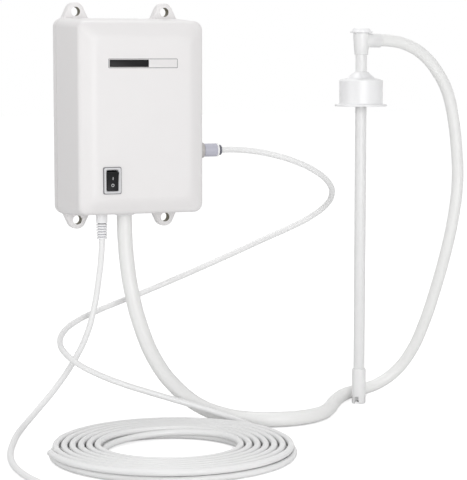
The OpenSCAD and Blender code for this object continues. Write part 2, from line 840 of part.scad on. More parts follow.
module motor_end_cap() {
    color("#404040") at_pump() difference() {
        z_bar(motor_d, motor_len, motor_len + cap_t);
        z_bar(bearing_d + 2 * slip, motor_len - 1, motor_len + cap_t - 2.5);
    }
}

module motor_bearings() {
    color("silver") at_pump() for (z = [-plate_t, motor_len + cap_t - 2.5 - bearing_h])
        difference() {
            z_bar(bearing_d, z, z + bearing_h);
            z_bar(shaft_d + 2 * slip, z - 1, z + bearing_h + 1);
        }
}

module brush_holder() {
    color("#553311") at_pump() difference() {
        z_bar(motor_d - 2 * can_wall - 2 * clear, motor_len - 12, motor_len);
        z_bar(36, motor_len - 13, motor_len + 1);
    }
}

module brushes() {
    color("#202020") at_pump() for (a = [0, 180]) rotate([0, 0, a]) difference() {
        translate([8.2, -2.5, motor_len - 9]) cube([11, 5, 6]);
        difference() {
            z_bar(50, motor_len - 10, motor_len);
            z_bar(36 - 2 * slip, motor_len - 11, motor_len + 1);
        }
    }
}

module motor_shaft() {
    color("silver") at_pump() z_bar(shaft_d, -plate_t - 14, motor_len + cap_t - 2.5);
}

module armature() {
    color("#b06030") at_pump() {
        difference() {
            z_bar(arm_d, arm_low, arm_high);
            z_bar(shaft_d + 2 * slip, arm_low - 1, arm_high + 1);
            for (a = [0:45:315]) rotate([0, 0, a]) translate([arm_d / 2 - 3, -1.5, arm_low - 1])
                cube([6, 3, arm_high - arm_low + 2]);
        }
        for (z = [arm_low - winding_h, arm_high]) difference() {
            z_bar(arm_d - 8, z, z + winding_h);
            z_bar(shaft_d + 8, z - 1, z + winding_h + 1);
        }
    }
}

module commutator() {
    color("#b87333") at_pump() difference() {
        z_bar(16, motor_len - 12, motor_len - 1);
        z_bar(shaft_d + 2 * slip, motor_len - 13, motor_len);
    }
}

// Pump

module eccentric() {
    color("silver") at_pump() difference() {
        translate([throw, 0, 0]) z_bar(16, -plate_t - 14, -plate_t - 4);
        z_bar(shaft_d + 2 * slip, -plate_t - 15, -plate_t - 3);
    }
}

module pump_block(from, to) {
    at_pump() translate([0, 0, from]) linear_extrude(to - from) rounded(head_w, head_dep, 6);
}

module at_head_screws() {
    at_pump() for (x = [-1, 1], y = [-1, 1]) translate([x * head_screw_x, y * head_screw_y, 0]) children();
}

module motor_plate() {
    color("silver") difference() {
        pump_block(-plate_t, 0);
        at_pump() z_bar(bearing_d + 2 * slip, -plate_t - 1, 1);
    }
}

module crank_housing() {
    color("#303030") difference() {
        pump_block(crank_z, -plate_t);
        at_pump() z_bar(50, crank_z - 1, -plate_t - 3);
        at_pump() z_bar(24, -plate_t - 4, 0);
        at_head_screws() z_bar(head_screw_d + 2 * slip, crank_z - 1, crank_z + 12);
    }
}

module wobble_plate() {
    hub = 16 + 2 * throw + 1;
    floor_at = -plate_t - 15;
    color("#d8d0b8") at_pump() {
        difference() {
            union() {
                z_bar(46, floor_at - 4, floor_at);
                z_bar(hub + 10, floor_at - 1, floor_at + 10);
                for (a = [90, 210, 330]) rotate([0, 0, a]) translate([piston_r, 0, 0])
                    z_bar(10, crank_z, floor_at - 3);
            }
            z_bar(hub, floor_at, floor_at + 12);
        }
    }
}

module diaphragm() {
    color("#222222") difference() {
        pump_block(dia_z, crank_z);
        at_head_screws() z_bar(head_screw_d + 0.4, dia_z - 1, crank_z + 1);
    }
}

module valve_plate() {
    color("#d8d0b8") difference() {
        pump_block(valve_z, dia_z);
        at_head_screws() z_bar(head_screw_d + 0.4, valve_z - 1, dia_z + 1);
        for (a = [0:60:300]) at_pump() rotate([0, 0, a]) translate([piston_r, 0, 0])
            z_bar(4, valve_z - 1, dia_z + 1);
    }
}

module pump_head() {
    color("#303030") difference() {
        union() {
            pump_block(head_z, valve_z);
            at_entry(hose_x) z_bar(hose_od + 6, head_z - socket_len, head_z + 1);
            at_outlet() x_bar(barb_d, pump_x + head_w / 2 - 1, pump_x + head_w / 2 + barb_len);
        }
        at_entry(hose_x) z_bar(hose_od + 2 * slip, head_z - socket_len - 1, socket_stop - 6);
        at_entry(hose_x) z_bar(hose_od - 6, head_z - socket_len, valve_z - 6);
        at_outlet() x_bar(4, pump_x + 12, pump_x + head_w / 2 + barb_len + 1);
        at_head_screws() z_bar(head_screw_d + 0.4, head_z - 1, valve_z + 1);
    }
}

module pump_head_screws() {
    color("silver") at_head_screws() {
        z_bar(1.8 * head_screw_d, head_z - 3, head_z);
        z_bar(head_screw_d, head_z, crank_z + 11);
    }
}

module pressure_switch() {
    color("#181818") translate([pump_x - head_w / 2, -pump_depth, head_z + head_h / 2]) {
        translate([-16, -10, -10]) cube([16, 20, 20]);
        x_bar(9, -22, -16);
        for (z = [-5, 5]) translate([-12, 10, z - 3]) cube([0.8, 7, 6]);
    }
}

// Control board

module control_board() {
    color("darkgreen") translate([board_x, 0, board_z]) difference() {
        slab(board_w, board_h, 2, board_depth, board_depth + board_t);
        at_corners(board_hole_dx / 2, board_hole_dz / 2)
            y_bar(board_screw_d + 0.7, board_depth - 1, board_depth + board_t + 1);
    }
}

module board_components() {
    top = board_depth + board_t;
    color("#2a2a30") {
        translate([board_x + 8, 0, board_z - 16]) y_bar(16, top, top + 24);
        translate([board_x - 11, 0, board_z - 14]) slab(15, 15, 1, top, top + 6);
        translate([board_x - 10, 0, board_z + 8]) slab(16, 20, 1, top, top + 14);
        translate([block_x, 0, block_z]) slab(2 * block_gap, 9, 0.6, top, block_top);
    }
}

module board_screws() {
    top = board_depth + board_t;
    color("silver") translate([board_x, 0, board_z]) at_corners(board_hole_dx / 2, board_hole_dz / 2) {
        y_bar(board_screw_d, wall + 1, top);
        y_bar(2 * board_screw_d, top, top + 2);
    }
}

module mains_leads() {
    color("#553322") {
        swept(LEAD_A, lead_d, 8);
        swept(LEAD_B, lead_d, 8);
    }
}

module motor_leads() {
    color("firebrick") {
        swept(MOTOR_A, lead_d, 8);
        swept(MOTOR_B, lead_d, 8);
    }
}

// Cap, elbow and wand

module suction_hose() {
    color("white") swept(HOSE, HOSE_D, 10);
}

module elbow() {
    socket = wand_in;
    color("white") at_wand() difference() {
        union() {
            rotate_extrude() polygon([
                [0, elbow_z], [elbow_low_d / 2, elbow_z], [elbow_d / 2, elbow_z + elbow_h * 0.55],
                [elbow_d / 2, elbow_top], [0, elbow_top]
            ]);
            translate([0, 0, branch_z]) x_bar(branch_d, 0, branch_len);
        }
        z_bar(wand_od + 2 * slip, elbow_z - 1, elbow_z + socket);
        z_bar(12, elbow_z, elbow_top + 1);
        translate([0, 0, branch_z]) x_bar(11, 0, branch_len);
        translate([0, 0, branch_z]) x_bar(hose_tip_od + 2 * slip, branch_len - hose_in, branch_len + 1);
    }
}

module elbow_plug() {
    color("white") at_wand() {
        z_bar(12 - 2 * slip, elbow_top - 3, elbow_top);
        z_bar(plug_top_d, elbow_top, elbow_top + plug_rim);
        translate([0, 0, elbow_top + plug_rim])
            cylinder(d1 = plug_top_d - 4, d2 = plug_top_d - 8, h = plug_dome);
    }
}

module bottle_cap() {
    bore = wand_od / 2 + slip;
    inner = cap_d / 2 - cap_wall;
    cone_d = 37;
    color("white") at_wand() rotate_extrude($fn = 64) polygon([
        [inner, cap_z], [cap_flange_d / 2, cap_z], [cap_flange_d / 2, cap_z + cap_lip],
        [cap_d / 2, cap_z + cap_lip], [cap_d / 2, cap_top], [cone_d / 2, cap_top + cap_slope],
        [bore + 1.8, cap_top + cap_slope + cap_cone], [bore, cap_top + cap_slope + cap_cone],
        [bore, cap_top - cap_wall], [inner, cap_top - cap_wall]
    ]);
}

module cap_liner() {
    color("gainsboro") at_wand() difference() {
        z_bar(cap_d - 2 * cap_wall - 2 * clear, cap_top - cap_wall - liner_t, cap_top - cap_wall);
        z_bar(wand_od + 0.6, cap_top - 10, cap_top);
    }
}

module wand_tube() {
    color("white") at_wand() difference() {
        z_bar(wand_od, foot_top - wand_in, elbow_z + wand_in);
        z_bar(wand_od - 2 * wand_wall, foot_top - wand_in - 1, elbow_z + wand_in + 1);
    }
}

module wand_foot() {
    hub_z = floor_z + 4;
    stop_z = seat_z + seat_t + disc_t + valve_lift + 0.2;
    color("white") at_wand() difference() {
        union() {
            difference() {
                z_bar(foot_d, floor_z, foot_top);
                z_bar(wand_od + 2 * slip, foot_top - wand_in, foot_top + 1);
                z_bar(foot_bore_d, seat_z + seat_t, stop_z);
                z_bar(10, stop_z - 1, stop_z + 3);
                z_bar(foot_bore_d, stop_z + 2, foot_top);
                z_bar(9, seat_z - 1, seat_z + seat_t + 1);
                z_bar(foot_bore_d, floor_z - 1, seat_z);
                for (a = [45, 135]) rotate([0, 0, a]) translate([-20, -3, floor_z - 1]) cube([40, 6, 11]);
            }
            z_bar(stem_d + 4, hub_z, hub_z + 6);
            for (a = [0, 90]) rotate([0, 0, a]) translate([-wand_od / 2, -0.8, hub_z])
                cube([wand_od, 1.6, 6]);
        }
        z_bar(stem_d + 2 * slip, hub_z - 1, hub_z + 7);
    }
}

module foot_valve() {
    seat = seat_z + seat_t;
    color("#404040") at_wand() {
        z_bar(wand_od - 3, seat, seat + disc_t);
        z_bar(stem_d, floor_z + 1, seat + 1);
    }
}

// Free tube and cord

module outlet_tube() {
    color("white") swept(TUBE, tube_od, 8);
}

module outlet_coil() {
    color("white") swept(TUBE_COIL, tube_od, 6);
}

module power_cord() {
    color("white") swept(CORD, cord_d, 8);
}

module power_coil() {
    color("white") swept(CORD_COIL, cord_d, 6);
}

module coil_tie() {
    inner = cord_coil_r - cord_pitch * cord_turns / 2 - cord_d / 2 - 0.6;
    outer = cord_coil_r + cord_d / 2 - 0.2;
    low = cord_centre[2] - cord_d / 2 - 0.3;
    high = cord_centre[2] + cord_rise + cord_d / 2 + 0.3;
    color("#303030") translate([cord_centre[0], cord_centre[1] + tie_w / 2, 0]) rotate([90, 0, 0])
        linear_extrude(tie_w) difference() {
            translate([inner - tie_t, low - tie_t])
                square([outer - inner + 2 * tie_t, high - low + 2 * tie_t]);
            translate([inner, low]) square([outer - inner, high - low]);
        }
}

module power_plug() {
    color("white") translate(cord_end) {
        rotate([0, 90, 0]) cylinder(d1 = cord_d + 3, d2 = plug_w * 0.62, h = relief_plug_len);
        hull() {
            translate([relief_plug_len, 0, 0]) rotate([90, 0, 90]) linear_extrude(1)
                rounded(plug_w * 0.8, plug_w * 0.8, 5, $fn = hull_fn);
            translate([relief_plug_len + 8, 0, 0]) rotate([90, 0, 90]) linear_extrude(plug_len - 8)
                rounded(plug_w, plug_w, 5, $fn = hull_fn);
        }
    }
}

module plug_pins() {
    color("silver") translate(cord_end + [relief_plug_len + plug_len, 0, 0]) {
        for (y = [-1, 1]) translate([0, y * blade_gap / 2 - blade_t / 2, -blade_w / 2 + 2])
            cube([blade_out, blade_t, blade_w]);
        translate([0, 0, -8]) x_bar(4.8, 0, blade_out + 2.5);
    }
}

rear_housing();
front_cover();
cover_seal();
cover_screws();
badge_plate();
switch_frame();
switch_rocker();
switch_body();
switch_terminals();
outlet_fitting();
outlet_collet();
outlet_oring();
outlet_locknut();
outlet_inner_tube();
cord_strain_relief();
cord_clip();
hose_grommet();
pump_base();
rubber_feet();
foot_screws();
motor_straps();
strap_screws();
motor_can();
motor_magnets();
motor_end_cap();
motor_bearings();
brush_holder();
brushes();
motor_shaft();
armature();
commutator();
eccentric();
motor_plate();
crank_housing();
wobble_plate();
diaphragm();
valve_plate();
pump_head();
pump_head_screws();
pressure_switch();
control_board();
board_components();
board_screws();
mains_leads();
motor_leads();
suction_hose();
elbow();
elbow_plug();
bottle_cap();
cap_liner();
wand_tube();
wand_foot();
foot_valve();
outlet_tube();
outlet_coil();
power_cord();
power_coil();
coil_tie();
power_plug();
plug_pins();
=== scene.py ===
"""Looks of the bottled water pump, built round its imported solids."""

import json
from math import asin, atan2, cos, degrees, pi, radians, sin, sqrt, tan

import bmesh
import bpy
from mathutils import Matrix, Vector


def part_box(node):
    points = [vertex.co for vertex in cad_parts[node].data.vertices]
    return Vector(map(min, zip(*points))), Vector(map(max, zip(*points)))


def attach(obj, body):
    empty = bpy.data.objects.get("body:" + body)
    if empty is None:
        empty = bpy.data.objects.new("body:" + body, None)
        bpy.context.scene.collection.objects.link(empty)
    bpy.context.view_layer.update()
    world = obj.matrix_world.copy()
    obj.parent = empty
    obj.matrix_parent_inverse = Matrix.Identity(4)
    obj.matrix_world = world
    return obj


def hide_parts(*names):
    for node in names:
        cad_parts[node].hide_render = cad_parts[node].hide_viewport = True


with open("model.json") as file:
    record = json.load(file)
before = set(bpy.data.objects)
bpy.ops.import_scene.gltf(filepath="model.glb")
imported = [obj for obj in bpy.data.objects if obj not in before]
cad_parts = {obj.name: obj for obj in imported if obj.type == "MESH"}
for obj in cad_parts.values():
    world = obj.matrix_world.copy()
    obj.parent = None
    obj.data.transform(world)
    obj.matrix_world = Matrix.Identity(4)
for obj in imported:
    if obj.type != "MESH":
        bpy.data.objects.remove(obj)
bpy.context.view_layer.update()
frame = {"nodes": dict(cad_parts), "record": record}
scene = bpy.context.scene
scene.view_settings.view_transform = "Standard"

# Photograph and camera (pixels, degrees, metres)
PHOTO_W = 467
PHOTO_H = 480
FOCAL_PX = 1750
SENSOR = 36.0
AZIMUTH = radians(-21)
PITCH = radians(5.9)
DISTANCE = 2.318
PANEL_PX = (143.6, 118.0)
PANEL = Vector((0, -0.114, 0))

# Cord diameters and declared lengths. The hose narrows between two points of its route
HOSE_D = 0.0205
HOSE_TIP_D = 0.0165
HOSE_NARROWS = (9, 21)
TUBE_D = 0.008
TUBE_BORE = 0.0055
TUBE_MOUTH = 0.003
CORD_D = 0.0082

# Routes of the three cords
HOSE = [
    (-0.010, -0.058, -0.070), (-0.010, -0.058, -0.104), (-0.010, -0.058, -0.140), (-0.0085, -0.060, -0.185),
    (-0.004, -0.068, -0.235), (0.005, -0.084, -0.286), (0.018, -0.108, -0.329), (0.035, -0.137, -0.359),
    (0.057, -0.168, -0.380), (0.082, -0.199, -0.3895), (0.109, -0.226, -0.3917), (0.143, -0.240, -0.3917),
    (0.180, -0.238, -0.3919), (0.212, -0.221, -0.3922), (0.236, -0.193, -0.3924), (0.258, -0.159, -0.3926),
    (0.282, -0.125, -0.3929), (0.309, -0.097, -0.3931), (0.338, -0.082, -0.3928), (0.366, -0.079, -0.386),
    (0.3905, -0.083, -0.369), (0.4095, -0.092, -0.341), (0.424, -0.103, -0.300), (0.436, -0.114, -0.250),
    (0.447, -0.123, -0.197), (0.456, -0.129, -0.143), (0.461, -0.130, -0.093), (0.459, -0.130, -0.050),
    (0.453, -0.130, -0.006), (0.443, -0.130, 0.032), (0.427, -0.130, 0.060), (0.404, -0.130, 0.084),
    (0.377, -0.130, 0.098), (0.3495, -0.130, 0.103), (0.3235, -0.130, 0.103),
]
TUBE = [
    (0.098, -0.080, -0.046), (0.120, -0.080, -0.046), (0.140, -0.080, -0.046), (0.165, -0.082, -0.048),
    (0.193, -0.086, -0.053), (0.224, -0.090, -0.062), (0.256, -0.090, -0.076), (0.283, -0.080, -0.094),
    (0.298, -0.060, -0.113), (0.298, -0.038, -0.131), (0.283, -0.023, -0.147), (0.256, -0.018, -0.161),
    (0.214, -0.018, -0.177), (0.168, -0.018, -0.195), (0.121, -0.018, -0.213), (0.075, -0.018, -0.230),
    (0.030, -0.018, -0.246), (-0.008, -0.020, -0.258), (-0.044, -0.027, -0.269), (-0.076, -0.042, -0.279),
    (-0.100, -0.066, -0.289), (-0.112, -0.095, -0.299), (-0.112, -0.122, -0.308), (-0.101, -0.147, -0.319),
    (-0.079, -0.166, -0.331), (-0.050, -0.180, -0.343), (-0.018, -0.190, -0.354), (0.015, -0.198, -0.365),
    (0.044, -0.205, -0.3745), (0.068, -0.214, -0.383), (0.087, -0.229, -0.3896), (0.100, -0.252, -0.395),
    (0.107, -0.280, -0.3978), (0.109, -0.308, -0.3978), (0.109, -0.336, -0.3978),
]
CORD = [
    (-0.042, -0.058, -0.108), (-0.042, -0.058, -0.135), (-0.042, -0.058, -0.160), (-0.043, -0.058, -0.188),
    (-0.047, -0.058, -0.220), (-0.054, -0.059, -0.258), (-0.066, -0.063, -0.294), (-0.087, -0.071, -0.328),
    (-0.117, -0.085, -0.361), (-0.149, -0.108, -0.385), (-0.176, -0.145, -0.396), (-0.196, -0.190, -0.397),
    (-0.212, -0.235, -0.397), (-0.226, -0.280, -0.397), (-0.236, -0.325, -0.397), (-0.240, -0.370, -0.397),
    (-0.238, -0.412, -0.397), (-0.230, -0.452, -0.397), (-0.219, -0.492, -0.397), (-0.211, -0.530, -0.397),
    (-0.210, -0.554, -0.397), (-0.210, -0.566, -0.397),
]

# Coils: middle, outer radius, pitch, rise, turns, first angle and way round
COIL_STEPS = 24
COIL_CLIMB = 0.5
TUBE_COIL = (Vector((-0.041, -0.342, -0.3978)), 0.150, 0.0102, 0.00865, 13.5, 0.0, -1)
CORD_COIL = (Vector((-0.158, -0.573, -0.397)), 0.052, 0.0089, 0.009, 4.25, pi, 1)
PLUG_AT = Vector((-0.113, -0.625, -0.388))


def ease(share):
    """A share held between 0 and 1, with a soft start and end."""
    held = min(max(share, 0), 1)
    return held * held * (3 - 2 * held)


def coil(middle, radius, pitch, rise, turns, first, way):
    """Points of a flat coil that winds in, steps up half way and winds out again."""
    points = []
    for i in range(int(turns * COIL_STEPS) + 1):
        s = i / COIL_STEPS
        reach = radius - pitch * min(s, turns - s)
        angle = first + way * 2 * pi * s
        lift = rise * ease((s - turns / 2) / COIL_CLIMB + 0.5)
        points.append(middle + Vector((reach * cos(angle), reach * sin(angle), lift)))
    return points


def add_camera():
    """The one camera, set so that the panel's middle falls on its pixel in the photograph."""
    forward = Vector((-sin(AZIMUTH) * cos(PITCH), cos(AZIMUTH) * cos(PITCH), -sin(PITCH)))
    right = forward.cross(Vector((0, 0, 1))).normalized()
    up = right.cross(forward)
    aside = (PANEL_PX[0] - PHOTO_W / 2) / FOCAL_PX
    above = (PHOTO_H / 2 - PANEL_PX[1]) / FOCAL_PX
    data = bpy.data.cameras.new("camera")
    data.sensor_width = SENSOR
    data.lens = FOCAL_PX * SENSOR / max(PHOTO_W, PHOTO_H)
    data.clip_end = 100
    camera = bpy.data.objects.new("camera", data)
    turn = Matrix((right, up, -forward)).transposed().to_4x4()
    camera.matrix_world = Matrix.Translation(PANEL - DISTANCE * (forward + aside * right + above * up)) @ turn
    scene.collection.objects.link(camera)
    scene.camera = camera


def run_line(name, points, diameter, tip=None, narrows=(0, 1)):
    """One open curve with a round section through the points, which may narrow to a tip."""
    data = bpy.data.curves.new(name, "CURVE")
    data.dimensions = "3D"
    data.bevel_depth = diameter / 2
    data.bevel_resolution = 6
    data.resolution_u = 6
    data.use_fill_caps = True
    spline = data.splines.new("BEZIER")
    spline.bezier_points.add(len(points) - 1)
    for i, (knot, place) in enumerate(zip(spline.bezier_points, points)):
        knot.co = place
        if tip:
            share = (i - narrows[0]) / (narrows[1] - narrows[0])
            knot.radius = 1 + (tip / diameter - 1) * ease(share)
        knot.handle_left_type = "AUTO"
        knot.handle_right_type = "AUTO"
    piece = bpy.data.objects.new(name, data)
    scene.collection.objects.link(piece)
    return piece


add_camera()
hose = run_line("hose_run", HOSE, HOSE_D, HOSE_TIP_D, HOSE_NARROWS)
tube_end = coil(*TUBE_COIL)[-1] + Vector((0, TUBE_D - TUBE_MOUTH, 0))
tube = run_line("tube_run", TUBE + coil(*TUBE_COIL) + [tube_end], TUBE_D)
cord = run_line("cord_run", CORD + coil(*CORD_COIL) + [(PLUG_AT + coil(*CORD_COIL)[-1]) / 2, PLUG_AT], CORD_D)


# Materials

CLOUD_DETAIL = 4
GRAIN_DETAIL = 2
GRAIN_DEPTH = 0.0004
GLOSS_SPREAD = 0.15


def tone(red, green, blue):
    """A linear colour from one written in 0 to 255 steps of sRGB."""
    steps = [part / 255 for part in (red, green, blue)]
    return [s / 12.92 if s <= 0.04045 else ((s + 0.055) / 1.055) ** 2.4 for s in steps] + [1.0]


def shade(colour, amount):
    """The colour made lighter or darker by a share."""
    return [min(part * amount, 1.0) for part in colour[:3]] + [1.0]


def add_noise(nodes, links, where, scale, detail, stretch=(1, 1, 1)):
    """A noise texture over the piece's own space."""
    place = nodes.new("ShaderNodeMapping")
    place.inputs["Scale"].default_value = stretch
    links.new(where.outputs["Object"], place.inputs["Vector"])
    noise = nodes.new("ShaderNodeTexNoise")
    noise.inputs["Scale"].default_value = scale
    noise.inputs["Detail"].default_value = detail
    links.new(place.outputs["Vector"], noise.inputs["Vector"])
    return noise


def surface(name, colour, rough, cloud=0.03, cloud_scale=30, grain_scale=1400, bump=0.04,
            stretch=(1, 1, 1), **sockets):
    """A procedural finish: slow clouds in the colour, a fine grain in the gloss and the relief."""
    finish = bpy.data.materials.new(name)
    finish.use_nodes = True
    nodes = finish.node_tree.nodes
    links = finish.node_tree.links
    shader = nodes["Principled BSDF"]
    for socket, value in sockets.items():
        shader.inputs[socket.replace("_", " ")].default_value = value
    where = nodes.new("ShaderNodeTexCoord")
    slow = add_noise(nodes, links, where, cloud_scale, CLOUD_DETAIL)
    blend = nodes.new("ShaderNodeMix")
    blend.data_type = "RGBA"
    blend.inputs[6].default_value = shade(colour, 1 - cloud)
    blend.inputs[7].default_value = shade(colour, 1 + cloud)
    links.new(slow.outputs["Fac"], blend.inputs[0])
    links.new(blend.outputs[2], shader.inputs["Base Color"])
    fine = add_noise(nodes, links, where, grain_scale, GRAIN_DETAIL, stretch)
    gloss = nodes.new("ShaderNodeMapRange")
    gloss.inputs["To Min"].default_value = rough * (1 - GLOSS_SPREAD)
    gloss.inputs["To Max"].default_value = min(rough * (1 + GLOSS_SPREAD), 1)
    links.new(fine.outputs["Fac"], gloss.inputs["Value"])
    links.new(gloss.outputs["Result"], shader.inputs["Roughness"])
    relief = nodes.new("ShaderNodeBump")
    relief.inputs["Strength"].default_value = bump
    relief.inputs["Distance"].default_value = GRAIN_DEPTH
    links.new(fine.outputs["Fac"], relief.inputs["Height"])
    links.new(relief.outputs["Normal"], shader.inputs["Normal"])
    return finish


MILKY = {"Subsurface_Weight": 0.35, "Subsurface_Radius": (0.004, 0.004, 0.004), "Subsurface_Scale": 1.0}
METAL = {"Metallic": 1.0}
DULL = {"Specular_IOR_Level": 0.2}
BRUSHED = (1, 1, 12)
WOUND = (1, 1, 0.1)
LOOKS = {
    "case_white": surface("case_white", tone(233, 231, 231), 0.42, cloud=0.01),
    "seal_grey": surface("seal_grey", tone(168, 168, 166), 0.75, cloud=0.06),
    "screw_steel": surface("screw_steel", tone(190, 190, 192), 0.28, **METAL),
    "badge": surface("badge", tone(20, 20, 22), 0.4, cloud=0.12, **DULL),
    "switch_grey": surface("switch_grey", tone(214, 214, 216), 0.45, cloud=0.04),
    "switch_black": surface("switch_black", tone(26, 26, 28), 0.42, cloud=0.12, **DULL),
    "contact_brass": surface("contact_brass", tone(214, 178, 96), 0.3, **METAL),
    "fitting_white": surface("fitting_white", tone(189, 189, 201), 0.36, cloud=0.02),
    "collet_grey": surface("collet_grey", tone(104, 104, 114), 0.4, cloud=0.04),
    "rubber_black": surface("rubber_black", tone(34, 34, 35), 0.8, cloud=0.15, bump=0.12),
    "relief_white": surface("relief_white", tone(243, 243, 244), 0.5, cloud=0.03),
    "base_steel": surface("base_steel", tone(176, 178, 182), 0.35, stretch=BRUSHED, **METAL),
    "motor_steel": surface("motor_steel", tone(150, 152, 156), 0.33, stretch=BRUSHED, **METAL),
    "magnet_dark": surface("magnet_dark", tone(60, 60, 62), 0.7, cloud=0.1),
    "shaft_steel": surface("shaft_steel", tone(200, 200, 204), 0.2, stretch=BRUSHED, **METAL),
    "copper": surface("copper", tone(190, 108, 62), 0.3, grain_scale=700, bump=0.3, stretch=WOUND, **METAL),
    "carbon": surface("carbon", tone(40, 40, 42), 0.6, cloud=0.2),
    "pump_black": surface("pump_black", tone(42, 42, 44), 0.5, cloud=0.12, bump=0.1),
    "pump_tan": surface("pump_tan", tone(196, 178, 142), 0.5, cloud=0.06),
    "board_green": surface("board_green", tone(38, 98, 60), 0.4, cloud=0.2, cloud_scale=160),
    "component_dark": surface("component_dark", tone(52, 52, 54), 0.45, cloud=0.2),
    "wire_red": surface("wire_red", tone(176, 40, 36), 0.45, cloud=0.08),
    "wire_brown": surface("wire_brown", tone(108, 72, 48), 0.45, cloud=0.08),
    "hose_white": surface("hose_white", tone(236, 236, 235), 0.38, cloud=0.012, **MILKY),
    "cap_white": surface("cap_white", tone(240, 240, 241), 0.32, cloud=0.01, **MILKY),
    "liner_white": surface("liner_white", tone(226, 226, 224), 0.6, cloud=0.03),
    "wand_white": surface("wand_white", tone(236, 236, 236), 0.35, cloud=0.012, **MILKY),
    "tube_white": surface("tube_white", tone(235, 235, 235), 0.34, cloud=0.015, **MILKY),
    "cord_white": surface("cord_white", tone(239, 239, 239), 0.48, cloud=0.02),
    "tie_white": surface("tie_white", tone(220, 220, 218), 0.5, cloud=0.03),
    "plug_white": surface("plug_white", tone(226, 226, 225), 0.45, cloud=0.02),
    "pin_nickel": surface("pin_nickel", tone(206, 204, 198), 0.22, stretch=BRUSHED, **METAL),
}
# A grey for the badge's border, also used as painted shade on the outer edge of the switch bezel
EDGE_GREY_AND_SHADE = surface("edge_grey_and_shade", tone(128, 128, 131), 0.5, cloud=0.05)
# Painted shade: a dark grey for the first groove of the strain relief
PAINTED_DEEP_GROOVE_SHADE = surface("painted_deep_groove_shade", tone(84, 84, 87), 0.6, cloud=0.05)
# Painted shade: the outlet's collar darkened as if in the shadow of the box
PAINTED_COLLAR_SHADE = surface("painted_collar_shade", tone(184, 181, 180), 0.5, cloud=0.04)
# Painted shade: a lighter grey for the other grooves of the strain relief
PAINTED_GROOVE_SHADE = surface("painted_groove_shade", tone(180, 180, 186), 0.5, cloud=0.04)
MARK_GREY = surface("mark_grey", tone(186, 186, 188), 0.5, cloud=0.05)
# Painted shade: a dark olive grey for the inner walls of the ear holes
PAINTED_HOLE_SHADE = surface("painted_hole_shade", tone(140, 136, 118), 0.6, cloud=0.08)
for row in frame["record"]["subparts"]:
    solid = frame["nodes"][row["node"]]
    solid.data.materials.clear()
    solid.data.materials.append(LOOKS[row["material_slot"]])


# Ways to make a piece. A round corner uses at most a share of each side, and a soft edge of two steps
# has its middle point at a share of its reach

CORNER_SHARE = 0.48
EDGE_SHARE = 0.3


def make(name, verts, faces):
    """A mesh object with its faces turned outwards."""
    mesh = bpy.data.meshes.new(name)
    mesh.from_pydata([tuple(v) for v in verts], [], faces)
    shell = bmesh.new()
    shell.from_mesh(mesh)
    bmesh.ops.recalc_face_normals(shell, faces=shell.faces)
    shell.to_mesh(mesh)
    shell.free()
    piece = bpy.data.objects.new(name, mesh)
    scene.collection.objects.link(piece)
    return piece


def loft(name, rings, closed=False):
    """A skin through rings of equal count, with ends unless it closes on itself."""
    count = len(rings[0])
    total = len(rings)
    faces = []
    for i in range(total if closed else total - 1):
        j = (i + 1) % total
        for k in range(count):
            m = (k + 1) % count
            faces.append((i * count + k, i * count + m, j * count + m, j * count + k))
    if not closed:
        faces.append(tuple(range(count)))
        faces.append(tuple(range((total - 1) * count, total * count)))
    return make(name, [point for ring in rings for point in ring], faces)


def soften(points, reach, steps=5, closed=False):
    """A line of points with its corners rounded over the reach."""
    line = [Vector(p) for p in points]
    total = len(line)
    soft = []
    for i, corner in enumerate(line):
        if not closed and i in (0, total - 1):
            soft.append(corner)
            continue
        before = line[i - 1] - corner
        after = line[(i + 1) % total] - corner
        first = corner + before * min(reach / before.length, CORNER_SHARE)
        last = corner + after * min(reach / after.length, CORNER_SHARE)
        for k in range(steps + 1):
            u = k / steps
            soft.append(first * (1 - u) ** 2 + corner * 2 * u * (1 - u) + last * u * u)
    return soft


AXES = {
    "X": lambda along, a, b: (along, a, b),
    "Y": lambda along, a, b: (a, along, b),
    "Z": lambda along, a, b: (a, b, along),
}


def turned(name, profile, axis, middle, sides=64, closed=True):
    """A piece turned about an axis from a line of (radius, place along the axis)."""
    rings = []
    for radius, along in profile:
        ring = []
        for k in range(sides):
            angle = 2 * pi * k / sides
            ring.append(Vector(middle) + Vector(AXES[axis](along, radius * cos(angle), radius * sin(angle))))
        rings.append(ring)
    return loft(name, rings, closed)


def rod(axis, middle, radius, start, stop, sides=48):
    """A plain round bar, used for cutting and joining."""
    return turned("rod", [(radius, start), (radius, stop)], axis, middle, sides, closed=False)


def block(low, high):
    """A plain block, used for cutting and joining."""
    ring = [(low[0], low[1]), (high[0], low[1]), (high[0], high[1]), (low[0], high[1])]
    return loft("block", [[Vector((x, y, z)) for x, y in ring] for z in (low[2], high[2])])


def bake(piece):
    """The piece's modifiers become its mesh."""
    graph = bpy.context.evaluated_depsgraph_get()
    solid = bpy.data.meshes.new_from_object(piece.evaluated_get(graph))
    piece.modifiers.clear()
    piece.data = solid


def combine(piece, others, operation):
    """The other shapes are joined to the piece or cut from it, and then deleted."""
    for other in others:
        change = piece.modifiers.new("change", "BOOLEAN")
        change.operation = operation
        change.solver = "EXACT"
        change.object = other
    bake(piece)
    for other in others:
        bpy.data.objects.remove(other)


def bevel(piece, width, segments=3, angle=35):
    """Sharp edges are rounded."""
    change = piece.modifiers.new("bevel", "BEVEL")
    change.width = width
    change.segments = segments
    change.limit_method = "ANGLE"
    change.angle_limit = radians(angle)
    bake(piece)


